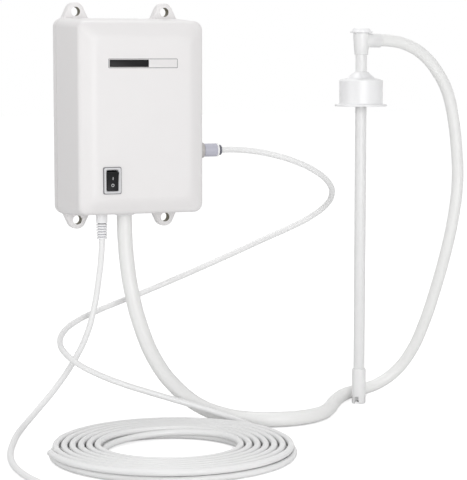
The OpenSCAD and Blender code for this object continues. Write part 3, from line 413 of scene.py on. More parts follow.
def dress(piece, slot, body="pump_unit", replaced=(), finish=None, sharp=32):
    """The piece gets its finish, from its slot unless one is given, and its body; the solids that it stands
    for are hidden.
    """
    if piece.type == "MESH":
        shell = bmesh.new()
        shell.from_mesh(piece.data)
        for face in shell.faces:
            face.smooth = True
        for edge in shell.edges:
            edge.smooth = len(edge.link_faces) == 2 and edge.calc_face_angle(pi) < radians(sharp)
        shell.to_mesh(piece.data)
        shell.free()
    piece.data.materials.clear()
    piece.data.materials.append(finish or LOOKS[slot])
    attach(piece, body)
    if replaced:
        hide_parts(*replaced)
    return piece


def middle_of(node):
    """The middle of a solid's box."""
    low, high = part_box(node)
    return (low + high) / 2


def rounded_rect(half_w, half_h, radius, steps=12):
    """Points round a rectangle with round corners, as (across, up)."""
    points = []
    for k, (side, top) in enumerate(((1, 1), (-1, 1), (-1, -1), (1, -1))):
        for i in range(steps + 1):
            angle = pi / 2 * (k + i / steps)
            across = side * (half_w - radius) + radius * cos(angle)
            points.append((across, top * (half_h - radius) + radius * sin(angle)))
    return points


def facing(points, depth, middle=(0, 0)):
    """A ring of (across, up) points at a depth in front of the wall."""
    return [Vector((middle[0] + x, -depth, middle[1] + z)) for x, z in points]


# The wall box

WALL = 0.003
CORNER_R = 0.012
DRAFT = 0.005
BEVEL_D = 0.009
BEVEL_W = 0.019
HOLLOW_DROP = 0.0018
EDGE_SOFT = 0.0055
PANEL_SOFT = 0.006
PANEL_MARGIN = 0.010
RIM_SOFT = 0.0008
FIT = 0.0001
OUTLET_HOLE_D = 0.0122
OUTLET_PAD_D = 0.024
OUTLET_PAD_X = 0.0896
CORD_HOLE_D = 0.0124
CORD_PAD_D = 0.0204
HOSE_HOLE_D = 0.0243
HOSE_PAD_D = 0.0291
ENTRY_OUT = -0.13164
ENTRY_IN = -0.1261


def add_cover():
    """The front cover: a drafted shell with a bevelled front, its openings and their pads."""
    low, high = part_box("front_cover")
    half_w, half_h = high.x, high.z
    back, front = -high.y, -low.y
    edge = front - BEVEL_D
    inner = DRAFT + BEVEL_W
    skin = [Vector((RIM_SOFT, back)), Vector((0, back + RIM_SOFT))]
    corners = [(0, back + RIM_SOFT), (DRAFT, edge), (inner, front), (inner + PANEL_MARGIN, front)]
    skin += soften(corners[:3], EDGE_SOFT, 7)[1:-1]
    skin += soften(corners[1:], PANEL_SOFT, 7)[1:]
    rings = [facing(rounded_rect(half_w - i, half_h - i, CORNER_R), depth) for i, depth in reversed(skin)]
    hollow = [(WALL, back), (DRAFT + WALL, edge - HOLLOW_DROP), (inner + WALL / 2, front - WALL)]
    rings += [facing(rounded_rect(half_w - i, half_h - i, CORNER_R - WALL), depth) for i, depth in hollow]
    cover = loft("cover_moulding", rings)
    outlet = middle_of("outlet_collet")
    relief = middle_of("cord_strain_relief")
    grommet = middle_of("hose_grommet")
    at_outlet = (0, outlet.y, outlet.z)
    at_cord = (relief.x, relief.y, 0)
    at_hose = (grommet.x, grommet.y, 0)
    side_in = half_w - 2 * WALL - DRAFT
    pads = [
        rod("X", at_outlet, OUTLET_PAD_D / 2, side_in, OUTLET_PAD_X),
        rod("Z", at_cord, CORD_PAD_D / 2, ENTRY_OUT, ENTRY_IN),
        rod("Z", at_hose, HOSE_PAD_D / 2, ENTRY_OUT, ENTRY_IN),
    ]
    combine(cover, pads, "UNION")
    switch_low, switch_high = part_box("switch_body")
    play = Vector((FIT, 0, FIT))
    reach = Vector((0, WALL * 4, 0))
    holes = [
        rod("X", at_outlet, OUTLET_HOLE_D / 2, side_in - WALL, half_w),
        rod("Z", at_cord, CORD_HOLE_D / 2, -half_h, ENTRY_IN + WALL),
        rod("Z", at_hose, HOSE_HOLE_D / 2, -half_h, ENTRY_IN + WALL),
        block(
            Vector((switch_low.x, low.y, switch_low.z)) - play - reach,
            Vector((switch_high.x, low.y, switch_high.z)) + play + reach,
        ),
    ]
    combine(cover, holes, "DIFFERENCE")
    dress(cover, "case_white", replaced=["front_cover"])


EAR_X = 0.0635
EAR_Z = 0.142
EAR_R = 0.0125
EAR_FOOT = 0.018
EAR_FILLET = 0.004
EAR_T = 0.014
EAR_HOLE_D = 0.0126
EAR_FRONT_SOFT = 0.0032
EAR_BACK_SOFT = 0.001
CORNER_TURN = 60
FILLET_START = 250
HOLE_WALL = 0.1
FLAT_BACK = 0.999
HOUSING_FLOOR = 0.003
LIP_DEPTH = 0.015
BOSS_X = 0.0815
BOSS_Z = 0.1225
BOSS_D = 0.013
SINK_D = 0.009
SINK_DEPTH = 0.004
SCREW_HOLE_D = 0.0046
PUMP_FOOT_MIDDLE = (0.014, 0.030)
PUMP_FOOT_SPREAD = (0.036, 0.042)
PUMP_FOOT_BOSS = (0.012, 0.010)
POST_MIDDLE = (-0.056, 0.055)
POST_SPREAD = (0.019, 0.031)
POST_BOSS = (0.007, 0.013)


def arc(middle, radius, start, stop, steps):
    """Points along part of a circle, with its angles in degrees."""
    points = []
    for k in range(steps + 1):
        angle = radians(start + (stop - start) * k / steps)
        points.append((middle[0] + radius * cos(angle), middle[1] + radius * sin(angle)))
    return points


def ear_outline(half_w, half_h):
    """Outline of the back plate with its four wall ears, whose sides lean in to a round end."""
    rise = EAR_Z - half_h
    reach = sqrt(EAR_FOOT ** 2 + rise ** 2)
    lean = 90 - degrees(atan2(rise, EAR_FOOT) + asin(EAR_R / reach))
    foot = EAR_FILLET * tan(radians(45 - lean / 2))
    turn = 90 - lean
    far = (EAR_X + EAR_FOOT + foot, half_h + EAR_FILLET)
    near = (EAR_X - EAR_FOOT - foot, half_h + EAR_FILLET)
    quarter = [(half_w, 0)]
    quarter += arc((half_w - CORNER_R, half_h - CORNER_R), CORNER_R, 0, CORNER_TURN, 8)
    quarter += arc(far, EAR_FILLET, FILLET_START, 270 - turn, 6)
    quarter += arc((EAR_X, EAR_Z), EAR_R, 90 - turn, 90 + turn, 24)
    quarter += arc(near, EAR_FILLET, turn - 90, -90, 6)
    left = [(-x, z) for x, z in reversed(quarter)]
    upper = quarter + left
    return upper[:-1] + [(-x, -z) for x, z in upper][:-1]


def shrink(points, amount):
    """An outline moved inwards by an amount."""
    moved = []
    total = len(points)
    for i, (x, z) in enumerate(points):
        before = Vector(points[i - 1])
        after = Vector(points[(i + 1) % total])
        way = (after - before).normalized()
        moved.append((x - way.y * amount, z + way.x * amount))
    return moved


def spread(middle, apart, side, top):
    """The place of one of four points about a middle, on the wall."""
    return (middle[0] + side * apart[0], 0, middle[1] + top * apart[1])


def add_housing():
    """The rear housing: ears with soft fronts, a lip for the cover, bosses and screw holes."""
    half_w, half_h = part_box("front_cover")[1].x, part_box("front_cover")[1].z
    outline = ear_outline(half_w, half_h)
    nose = [(0, 0), (0, EAR_T), (EAR_FRONT_SOFT * 2, EAR_T)]
    part = EDGE_SHARE * EAR_BACK_SOFT
    back = [(EAR_BACK_SOFT, 0), (part, part), (0, EAR_BACK_SOFT)]
    front = soften(nose, EAR_FRONT_SOFT, 6)[1:]
    rings = [facing(shrink(outline, i), depth) for i, depth in back + front]
    housing = loft("housing_moulding", rings)
    rim = rounded_rect(half_w, half_h, CORNER_R)
    lip = loft("lip", [facing(rim, LIP_DEPTH / 4), facing(rim, LIP_DEPTH)])
    combine(housing, [lip], "UNION")
    room = rounded_rect(half_w - WALL, half_h - WALL, CORNER_R - WALL)
    cavity = loft("cavity", [facing(room, HOUSING_FLOOR), facing(room, 2 * LIP_DEPTH)])
    combine(housing, [cavity], "DIFFERENCE")
    joins = []
    holes = []
    for side in (-1, 1):
        for top in (-1, 1):
            corner = (side * BOSS_X, 0, top * BOSS_Z)
            foot = spread(PUMP_FOOT_MIDDLE, PUMP_FOOT_SPREAD, side, top)
            post = spread(POST_MIDDLE, POST_SPREAD, side, top)
            joins.append(rod("Y", corner, BOSS_D / 2, -LIP_DEPTH, -HOUSING_FLOOR / 2))
            joins.append(rod("Y", foot, PUMP_FOOT_BOSS[0] / 2, -PUMP_FOOT_BOSS[1], -HOUSING_FLOOR / 2))
            joins.append(rod("Y", post, POST_BOSS[0] / 2, -POST_BOSS[1], -HOUSING_FLOOR / 2))
            holes.append(rod("Y", corner, SINK_D / 2, -SINK_DEPTH, SINK_DEPTH))
            holes.append(rod("Y", corner, SCREW_HOLE_D / 2, -2 * LIP_DEPTH, LIP_DEPTH))
            holes.append(rod("Y", (side * EAR_X, 0, top * EAR_Z), EAR_HOLE_D / 2, -2 * LIP_DEPTH, LIP_DEPTH))
    combine(housing, joins, "UNION")
    combine(housing, holes, "DIFFERENCE")
    dress(housing, "case_white", replaced=["rear_housing"])
    # The inner walls of the ear holes get painted shade
    housing.data.materials.append(PAINTED_HOLE_SHADE)
    for face in housing.data.polygons:
        reach = Vector((abs(face.center.x) - EAR_X, abs(face.center.z) - EAR_Z)).length
        if reach < EAR_HOLE_D / 2 + FIT and abs(face.normal.y) < HOLE_WALL:
            face.material_index = 1
        if face.normal.y > FLAT_BACK:
            face.use_smooth = False


add_cover()
add_housing()


# The badge, left blank

BADGE_R = 0.0006
BADGE_BORDER = 0.0008
BADGE_GAP = 0.0006
BADGE_SPLIT = 0.58
FIELD_RISE = 0.0003


def plate(name, middle, half_w, half_h, radius, back, front, soft):
    """A thin plate with round corners and a soft front edge."""
    rings = []
    part = EDGE_SHARE * soft
    for inset, depth in ((0, back), (0, front - soft), (part, front - part), (soft, front)):
        rings.append(facing(rounded_rect(half_w - inset, half_h - inset, radius, 6), depth, middle))
    return loft(name, rings)


def add_badge():
    """A plate with a thin border, a dark field and a pale one."""
    low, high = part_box("badge_plate")
    middle = ((low.x + high.x) / 2, (low.z + high.z) / 2)
    half_w, half_h = (high.x - low.x) / 2, (high.z - low.z) / 2
    front = -low.y
    back = -high.y
    step = front - FIELD_RISE
    soft = FIELD_RISE / 2
    border = plate("badge_border", middle, half_w, half_h, BADGE_R * 2, back, step - FIELD_RISE, soft)
    dress(border, "badge", replaced=["badge_plate"], finish=EDGE_GREY_AND_SHADE)
    inner_w, inner_h = half_w - BADGE_BORDER, half_h - BADGE_BORDER
    field = plate("badge_field", middle, inner_w, inner_h, BADGE_R, back, step, soft)
    dress(field, "badge", finish=LOOKS["case_white"])
    dark_w = (inner_w - BADGE_GAP) * BADGE_SPLIT
    dark_at = (middle[0] - inner_w + BADGE_GAP + dark_w, middle[1])
    dark = plate("badge_dark", dark_at, dark_w, inner_h - BADGE_GAP, BADGE_R, back, front, soft)
    dress(dark, "badge")


add_badge()


# The rocker switch

SWITCH_SOFT = 0.0011
OPENING_W = 0.0163
OPENING_H = 0.0278
ROCKER_W = 0.0155
ROCKER_H = 0.025
ROCKER_FRONT = 0.011
ROCKER_BACK = 0.004
ROCKER_HOLLOW_R = 0.060
ROCKER_HOLLOW = 0.0016
ROCKER_SOFT = 0.0007
ROCKER_TILT = radians(7)
ROCKER_PIVOT = Vector((-0.044, -0.108, -0.082))
MARK_RISE = 0.0001
MARK_T = 0.0009
ON_AT = 0.0042
ON_H = 0.0040
OFF_AT = -0.0050
OFF_D = 0.0042
SWITCH_LIP = 0.0024
BEZEL_SHADE = (3, 6)


def add_switch_frame():
    """The frame: a soft lip round the opening and a box behind it."""
    low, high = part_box("switch_frame")
    box_low, box_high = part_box("switch_body")
    middle = (ROCKER_PIVOT.x, ROCKER_PIVOT.z)
    half_w, half_h = (high.x - low.x) / 2, (high.z - low.z) / 2
    box_w, box_h = (box_high.x - box_low.x) / 2, (box_high.z - box_low.z) / 2
    front, back = -low.y, -high.y
    seat = front - SWITCH_LIP
    part = EDGE_SHARE * SWITCH_SOFT
    open_w, open_h = OPENING_W / 2, OPENING_H / 2
    line = [(open_w, open_h, back), (box_w, box_h, back), (box_w, box_h, seat), (half_w, half_h, seat)]
    line += [(half_w, half_h, front - SWITCH_SOFT), (half_w - part, half_h - part, front - part)]
    line += [(half_w - SWITCH_SOFT, half_h - SWITCH_SOFT, front)]
    line += [(open_w + SWITCH_SOFT, open_h + SWITCH_SOFT, front), (open_w, open_h, front - SWITCH_SOFT)]
    rings = [facing(rounded_rect(w, h, 2 * SWITCH_SOFT, 6), depth, middle) for w, h, depth in line]
    bezel = dress(loft("switch_bezel", rings, closed=True), "switch_grey", replaced=["switch_frame"])
    # The faces round the outer side and edge of the bezel's lip get painted shade
    bezel.data.materials.append(EDGE_GREY_AND_SHADE)
    count = len(rings[0])
    for face in bezel.data.polygons[BEZEL_SHADE[0] * count:BEZEL_SHADE[1] * count]:
        face.material_index = 1


def hollow_front(up):
    """How far the rocker's hollow face stands in front of its pivot at a height."""
    return ROCKER_FRONT + ROCKER_HOLLOW_R - ROCKER_HOLLOW - sqrt(ROCKER_HOLLOW_R ** 2 - up ** 2)


def tilted(points):
    """Points of the rocker turned to its rest tilt and put at its pivot."""
    turn = Matrix.Rotation(ROCKER_TILT, 3, "X")
    return [ROCKER_PIVOT + turn @ Vector(p) for p in points]


def add_rocker():
    """The rocker with its hollow face and its two plain marks."""
    steps = 18
    ups = [ROCKER_H * (k / steps - 0.5) for k in range(steps + 1)]
    side = [(-hollow_front(up), up) for up in ups]
    side += [(ROCKER_BACK, ROCKER_H / 2), (ROCKER_BACK, -ROCKER_H / 2)]
    rings = [tilted([(x, y, z) for y, z in side]) for x in (-ROCKER_W / 2, ROCKER_W / 2)]
    rocker = loft("rocker_key", rings)
    bevel(rocker, ROCKER_SOFT, angle=50)
    dress(rocker, "switch_black", "rocker", ["switch_rocker"])
    bars = 8
    rows = [ON_AT + ON_H * (k / bars - 0.5) for k in range(bars + 1)]
    corners = ((-1, -1), (1, -1), (1, 1), (-1, 1))
    strip = []
    for z in rows:
        y = -hollow_front(z)
        strip.append(tilted([(x * MARK_T / 2, y + rise * MARK_RISE, z) for x, rise in corners]))
    dress(loft("rocker_mark_on", strip), "switch_black", "rocker", finish=MARK_GREY)
    sides = 32
    rings = []
    for radius, rise in ((0, 1), (0, -1), (MARK_T, -1), (MARK_T, 1)):
        reach = OFF_D / 2 - radius
        turn = arc((0, OFF_AT), reach, 0, 360, sides)[:-1]
        rings.append(tilted([(x, -hollow_front(z) - rise * MARK_RISE, z) for x, z in turn]))
    dress(loft("rocker_mark_off", rings, closed=True), "switch_black", "rocker", finish=MARK_GREY)


add_switch_frame()
add_rocker()


# The outlet fitting and its collet

COLLAR_D = 0.021
COLLAR_END = 0.0961
BODY_D = 0.018
BODY_END = 0.1176
THREAD_D = 0.012
THREAD_START = 0.0754
BARB_D = 0.0068
BARB_BORE_D = 0.004
TUBE_STOP = 0.0976
SEAL_SEAT = 0.1016
COLLET_BORE_D = 0.012
FIT_SOFT = 0.0009
WAIST = 0.0008
COLLET_RIM_D = 0.014
COLLET_RIM_T = 0.0022
COLLET_SLEEVE_D = 0.0118
END_RING = 0.0026
RING_LINE = 0.0004


def add_outlet():
    """The push-fit: a tail through the wall, a collar, a body with a pale end ring, and a collet."""
    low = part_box("outlet_fitting")[0]
    collet_low, collet_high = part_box("outlet_collet")
    middle = (0, (collet_low.y + collet_high.y) / 2, (collet_low.z + collet_high.z) / 2)
    tight = TUBE_D / 2 + FIT
    line = [(BARB_BORE_D / 2, low.x), (BARB_D / 2, low.x), (BARB_D / 2, THREAD_START)]
    line += [(THREAD_D / 2, THREAD_START), (THREAD_D / 2, COLLAR_END), (BODY_D / 2 - WAIST, COLLAR_END)]
    line += [(BODY_D / 2 - WAIST, COLLAR_END + WAIST), (BODY_D / 2, COLLAR_END + WAIST)]
    ring_low = BODY_END - END_RING
    line += [(BODY_D / 2, ring_low - RING_LINE), (BODY_D / 2 - RING_LINE, ring_low - RING_LINE)]
    line += [(BODY_D / 2 - RING_LINE, ring_low), (BODY_D / 2, ring_low), (BODY_D / 2, BODY_END)]
    line += [(COLLET_BORE_D / 2, BODY_END), (COLLET_BORE_D / 2, SEAL_SEAT), (tight, SEAL_SEAT)]
    line += [(tight, TUBE_STOP), (BARB_BORE_D / 2, TUBE_STOP)]
    body = turned("outlet_body", soften(line, FIT_SOFT, 3, closed=True), "X", middle)
    dress(body, "fitting_white", replaced=["outlet_fitting"])
    body.data.materials.append(LOOKS["relief_white"])
    for face in body.data.polygons:
        centre = face.center
        reach = Vector((centre.y - middle[1], centre.z - middle[2])).length
        if centre.x > ring_low and reach > COLLET_BORE_D / 2 + FIT:
            face.material_index = 1
    line = [(THREAD_D / 2 - FIT, OUTLET_PAD_X), (COLLAR_D / 2, OUTLET_PAD_X), (COLLAR_D / 2, COLLAR_END)]
    line += [(THREAD_D / 2 - FIT, COLLAR_END)]
    collar = turned("outlet_collar", soften(line, FIT_SOFT, 3, closed=True), "X", middle)
    # The collar gets painted shade
    dress(collar, "fitting_white", finish=PAINTED_COLLAR_SHADE)
    rim = collet_high.x - COLLET_RIM_T
    bore = TUBE_D / 2 + 2 * FIT
    line = [(bore, collet_low.x), (COLLET_SLEEVE_D / 2, collet_low.x), (COLLET_SLEEVE_D / 2, rim)]
    line += [(COLLET_RIM_D / 2, rim), (COLLET_RIM_D / 2, collet_high.x), (bore, collet_high.x)]
    ring = turned("collet_ring", soften(line, COLLET_RIM_T / 3, 3, closed=True), "X", middle)
    dress(ring, "collet_grey", "collet", ["outlet_collet"])


add_outlet()


# The entries below the box

RELIEF_D = 0.0154
RELIEF_THIN_D = 0.0142
RELIEF_RIBS = 6
RELIEF_PLAIN = 0.0115
RELIEF_GROOVE = 0.0021
RELIEF_SLIT = 0.42
RELIEF_SPINE = (0.0024, 0.0022)
RELIEF_SOFT = 0.0004
RELIEF_CATCH = 0.001
GROMMET_SOFT = 0.0008


def add_relief():
    """The cord's strain relief: a plain head, ribs that grow thinner and a spine that joins them."""
    low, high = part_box("cord_strain_relief")
    middle = middle_of("cord_strain_relief")
    bore = CORD_D / 2 + FIT
    neck = CORD_HOLE_D / 2 - FIT
    bottom = low.z
    catch = neck + RELIEF_CATCH
    line = [(bore, high.z), (catch, high.z), (catch, ENTRY_IN + FIT), (neck, ENTRY_IN + FIT)]
    line += [(neck, ENTRY_OUT), (RELIEF_D / 2, ENTRY_OUT), (RELIEF_D / 2, ENTRY_OUT - RELIEF_PLAIN)]
    rib = (ENTRY_OUT - RELIEF_PLAIN - bottom) / RELIEF_RIBS
    grooves = []
    for k in range(RELIEF_RIBS):
        share = (k + 1) / RELIEF_RIBS
        radius = (RELIEF_D + (RELIEF_THIN_D - RELIEF_D) * share) / 2
        top = ENTRY_OUT - RELIEF_PLAIN - k * rib
        groove = max(radius - RELIEF_GROOVE, bore + RELIEF_GROOVE / 2)
        slit = top - rib * RELIEF_SLIT
        line += [(groove, top), (groove, slit), (radius, slit), (radius, top - rib)]
        grooves.append((slit, top, groove + FIT))
    line += [(bore, bottom)]
    sleeve = turned("relief_sleeve", soften(line, RELIEF_SOFT, 3, closed=True), "Z", (middle.x, middle.y, 0))
    reach = RELIEF_THIN_D / 2 - RELIEF_SOFT
    spine_low = Vector((middle.x + reach - RELIEF_SPINE[0], middle.y - RELIEF_SPINE[1] / 2, bottom + rib / 2))
    spine_high = Vector((middle.x + reach, middle.y + RELIEF_SPINE[1] / 2, ENTRY_OUT - RELIEF_PLAIN / 2))
    combine(sleeve, [block(spine_low, spine_high)], "UNION")
    dress(sleeve, "relief_white", replaced=["cord_strain_relief"])
    # The grooves get painted shade: the first groove dark, the others a lighter grey
    sleeve.data.materials.append(PAINTED_DEEP_GROOVE_SHADE)
    sleeve.data.materials.append(PAINTED_GROOVE_SHADE)
    for face in sleeve.data.polygons:
        away = Vector((face.center.x - middle.x, face.center.y - middle.y)).length
        inside = [slit < face.center.z < top and away < deep for slit, top, deep in grooves]
        if any(inside):
            face.material_index = 1 if inside[0] else 2


def add_grommet():
    """The hose's grommet: a flange on each side of the wall."""
    low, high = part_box("hose_grommet")
    middle = middle_of("hose_grommet")
    bore = HOSE_D / 2 + FIT
    neck = HOSE_HOLE_D / 2 - FIT
    wide = (high.x - low.x) / 2
    line = [(bore, high.z), (neck, high.z), (neck, ENTRY_OUT), (wide, ENTRY_OUT)]
    line += [(wide, low.z), (bore, low.z)]
    ring = turned("grommet_ring", soften(line, GROMMET_SOFT, 3, closed=True), "Z", (middle.x, middle.y, 0))
    dress(ring, "relief_white", replaced=["hose_grommet"])


add_relief()
add_grommet()


# The cap, the elbow and the wand

WAND_X = 0.3095
WAND_Y = -0.130
WAND_D = 0.0156
WAND_WALL = 0.0016
CAP_LOW = 0.013
CAP_FLANGE = (0.036, 0.003)
CAP_SKIRT_R = 0.030
CAP_SKIRT_TOP = 0.049
CAP_STEP_R = 0.0185
CAP_STEP_TOP = 0.052
CAP_TOP = 0.060
CAP_WALL = 0.0022
CAP_NECK_WALL = 0.00176
CAP_BORE_R = 0.0081
CAP_SOFT = 0.0016
ELBOW_D = 0.0226
ELBOW_LOW_D = 0.0186
ELBOW_TAPER = 0.0165
ELBOW_NARROW = 0.0006
ELBOW_BORE_D = 0.012
WAND_IN = 0.012
BRANCH_D = 0.0188
BRANCH_Z = 0.103
BRANCH_END = 0.3375
BRANCH_BORE_D = 0.011
ELBOW_SOFT = 0.0012
DISC_RIM = 0.0022
DISC_STEP = 0.002
DISC_DOME = 0.004
DISC_SOFT = 0.0007
FOOT_D = 0.0194
FOOT_BORE_D = 0.015
FOOT_SEAT = (0.017, 0.003, 0.009)
FOOT_STOP = (0.0292, 0.002, 0.010)
FOOT_SLOT_W = 0.006
FOOT_SLOT_H = 0.010
FOOT_SOFT = 0.001
HUB_D = 0.0074
HUB_Z = (0.004, 0.010)
HUB_BORE_D = 0.0035
HUB_SOFT = 0.0004
SPOKE_T = 0.0016
SPOKE_BITE = 0.0004


def add_cap():
    """The bottle cap: a hollow skirt with a rim, a sloped shoulder and a short cone for the wand."""
    wall = CAP_WALL
    flange_r, flange_t = CAP_FLANGE
    neck = CAP_BORE_R + CAP_NECK_WALL
    line = [(CAP_SKIRT_R - wall, CAP_LOW), (flange_r, CAP_LOW), (flange_r, CAP_LOW + flange_t)]
    line += [(CAP_SKIRT_R, CAP_LOW + flange_t), (CAP_SKIRT_R, CAP_SKIRT_TOP), (CAP_STEP_R, CAP_STEP_TOP)]
    line += [(neck, CAP_TOP), (CAP_BORE_R, CAP_TOP), (CAP_BORE_R, CAP_STEP_TOP - wall)]
    line += [(CAP_STEP_R - wall, CAP_STEP_TOP - wall), (CAP_SKIRT_R - wall, CAP_SKIRT_TOP - wall)]
    cap = turned("cap_moulding", soften(line, CAP_SOFT, 4, closed=True), "Z", (WAND_X, WAND_Y, 0), 96)
    dress(cap, "cap_white", "cap", ["bottle_cap"])


def add_elbow():
    """The tapered elbow with its side branch, and the domed disc on its top."""
    low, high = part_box("elbow")
    middle = (WAND_X, WAND_Y, 0)
    socket = WAND_D / 2 + FIT
    step = low.z + ELBOW_TAPER
    line = [(socket, low.z), (ELBOW_LOW_D / 2, low.z), (ELBOW_D / 2 - ELBOW_NARROW, step)]
    line += [(ELBOW_D / 2, high.z)]
    line += [(ELBOW_BORE_D / 2, high.z), (ELBOW_BORE_D / 2, low.z + WAND_IN), (socket, low.z + WAND_IN)]
    elbow = turned("elbow_moulding", soften(line, ELBOW_SOFT, 4, closed=True), "Z", middle)
    at = (0, WAND_Y, BRANCH_Z)
    end = HOSE_TIP_D / 2 + FIT
    line = [(BRANCH_D / 2, WAND_X + ELBOW_BORE_D / 2), (BRANCH_D / 2, BRANCH_END), (end, BRANCH_END)]
    branch = turned("branch", soften(line, ELBOW_SOFT / 2, 3), "X", at, closed=False)
    combine(elbow, [branch], "UNION")
    seat = rod("X", at, end, HOSE[-1][0] - FIT, BRANCH_END + ELBOW_SOFT)
    way = rod("X", at, BRANCH_BORE_D / 2, WAND_X, BRANCH_END)
    combine(elbow, [seat, way], "DIFFERENCE")
    dress(elbow, "wand_white", replaced=["elbow"])
    disc_low, disc_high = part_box("elbow_plug")
    wide = (disc_high.x - disc_low.x) / 2
    stem = ELBOW_BORE_D / 2 - FIT
    rim = high.z + DISC_RIM
    line = [(stem / 2, disc_low.z), (stem, disc_low.z), (stem, high.z), (wide, high.z), (wide, rim)]
    line += [(wide - DISC_STEP, rim), (wide - DISC_DOME, disc_high.z), (stem / 2, disc_high.z)]
    disc = turned("elbow_disc", soften(line, DISC_SOFT, 3), "Z", middle, closed=False)
    dress(disc, "cap_white", replaced=["elbow_plug"])


def add_wand():
    """The wand and its slotted foot with the valve's seat and guide."""
    low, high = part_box("wand_tube")
    middle = (WAND_X, WAND_Y, 0)
    inner = WAND_D / 2 - WAND_WALL
    line = [(WAND_D / 2, low.z), (WAND_D / 2, high.z), (inner, high.z), (inner, low.z)]
    wand = turned("wand_pipe", soften(line, WAND_WALL / 4, 3, closed=True), "Z", middle)
    dress(wand, "wand_white", replaced=["wand_tube"])
    low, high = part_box("wand_foot")
    bore = FOOT_BORE_D / 2
    socket = WAND_D / 2 + FIT
    line = [(bore, low.z), (FOOT_D / 2, low.z), (FOOT_D / 2, high.z), (socket, high.z)]
    line += [(socket, high.z - WAND_IN), (bore, high.z - WAND_IN)]
    for place, thick, across in (FOOT_STOP, FOOT_SEAT):
        top = low.z + place + thick
        line += [(bore, top), (across / 2, top), (across / 2, low.z + place), (bore, low.z + place)]
    foot = turned("foot_sleeve", soften(line, FOOT_SOFT, 3, closed=True), "Z", middle)
    slots = []
    for turn in (45, 135):
        half = FOOT_SLOT_W / 2
        slot = block((-FOOT_D, -half, low.z - FOOT_SOFT), (FOOT_D, half, low.z + FOOT_SLOT_H))
        slot.data.transform(Matrix.Translation(middle) @ Matrix.Rotation(radians(turn), 4, "Z"))
        slots.append(slot)
    combine(foot, slots, "DIFFERENCE")
    dress(foot, "wand_white", replaced=["wand_foot"])
    hub_low, hub_high = low.z + HUB_Z[0], low.z + HUB_Z[1]
    line = [(HUB_BORE_D / 2, hub_low), (HUB_D / 2, hub_low)]
    line += [(HUB_D / 2, hub_high), (HUB_BORE_D / 2, hub_high)]
    hub = turned("foot_guide", soften(line, HUB_SOFT, 3, closed=True), "Z", middle, 32)
    arms = []
    start, stop = HUB_D / 2 - SPOKE_BITE, bore + SPOKE_BITE
    for turn in (0, 90, 180, 270):
        arm = block((start, -SPOKE_T / 2, hub_low), (stop, SPOKE_T / 2, hub_high))
        arm.data.transform(Matrix.Translation(middle) @ Matrix.Rotation(radians(turn), 4, "Z"))
        arms.append(arm)
    combine(hub, arms, "UNION")
    dress(hub, "wand_white")


add_cap()
add_elbow()
add_wand()


# The plug and the tie of the power cord

PLUG_RELIEF_L = 0.020
PLUG_RELIEF_HALF = (0.0051, 0.00805)
PLUG_RIBS = 4
RIB_ROUND = 0.98
RIB_STEPS = (0.55, 0.65, 0.95)
PLUG_BODY_L = 0.034
PLUG_BACK = 0.0104
PLUG_BACK_EDGE = 0.0015
PLUG_FRONT = 0.013
PLUG_NOSE = ((0, 0.0012), (0.0004, 0.0004), (0.0012, 0))
PLUG_SOFT = 0.005
PLUG_GRIPS = 4
GRIP_START = 0.004
GRIP_PITCH = 0.005
GRIP_DEPTH = 0.0008
GRIP_STEPS = ((0, 0), (GRIP_DEPTH, 0.0008), (GRIP_DEPTH, 0.0018), (0, 0.0026))
TIE_T = 0.001
TIE_EDGE = 0.0003
TIE_ROUND = 0.7


def side_ring(half, radius, along, steps=8):
    """A square ring with round corners across the plug's axis."""
    return [PLUG_AT + Vector((along, y, z)) for y, z in rounded_rect(half, half, radius, steps)]


def add_plug():
    """The mains plug: a ribbed sleeve that swells into the body, with grip grooves on it."""
    rings = []
    rib = PLUG_RELIEF_L / PLUG_RIBS
    thin, thick = PLUG_RELIEF_HALF
    for k in range(PLUG_RIBS):
        start = k * rib
        half = thin + (thick - thin) * k / PLUG_RIBS
        low = half - GRIP_DEPTH
        rings.append(side_ring(half, half * RIB_ROUND, start))
        rings.append(side_ring(half, half * RIB_ROUND, start + rib * RIB_STEPS[0]))
        rings.append(side_ring(low, low * RIB_ROUND, start + rib * RIB_STEPS[1]))
        rings.append(side_ring(low, low * RIB_ROUND, start + rib * RIB_STEPS[2]))
    rings.append(side_ring(PLUG_BACK - PLUG_BACK_EDGE, PLUG_SOFT, PLUG_RELIEF_L))
    rings.append(side_ring(PLUG_BACK, PLUG_SOFT, PLUG_RELIEF_L + PLUG_BACK_EDGE))
    for k in range(PLUG_GRIPS):
        along = GRIP_START + k * GRIP_PITCH
        half = PLUG_BACK + (PLUG_FRONT - PLUG_BACK) * along / PLUG_BODY_L
        for push, shift in GRIP_STEPS:
            rings.append(side_ring(half - push, PLUG_SOFT, PLUG_RELIEF_L + along + shift))
    for inset, short in PLUG_NOSE:
        rings.append(side_ring(PLUG_FRONT - inset, PLUG_SOFT, PLUG_RELIEF_L + PLUG_BODY_L - short))
    return dress(loft("plug_moulding", rings), "plug_white", replaced=["power_plug"])


def add_tie():
    """A soft band round one side of the cord's coil."""
    low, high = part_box("coil_tie")
    middle = (low + high) / 2
    half_x, half_z = (high.x - low.x) / 2, (high.z - low.z) / 2
    soft = min(half_x, half_z) * TIE_ROUND
    rings = []
    first, last = low.y + TIE_EDGE, high.y - TIE_EDGE
    ends = [(0, first), (TIE_EDGE, low.y), (TIE_T - TIE_EDGE, low.y), (TIE_T, first)]
    ends += [(TIE_T, last), (TIE_T - TIE_EDGE, high.y), (TIE_EDGE, high.y), (0, last)]
    for inset, y in ends:
        ring = rounded_rect(half_x - inset, half_z - inset, soft - inset, 8)
        rings.append([Vector((middle.x + x, y, middle.z + z)) for x, z in ring])
    return dress(loft("tie_band", rings, closed=True), "tie_white", replaced=["coil_tie"])


plug = add_plug()
tie = add_tie()


# The cords take the place of their solids

MOUTH_SOFT = 0.0003


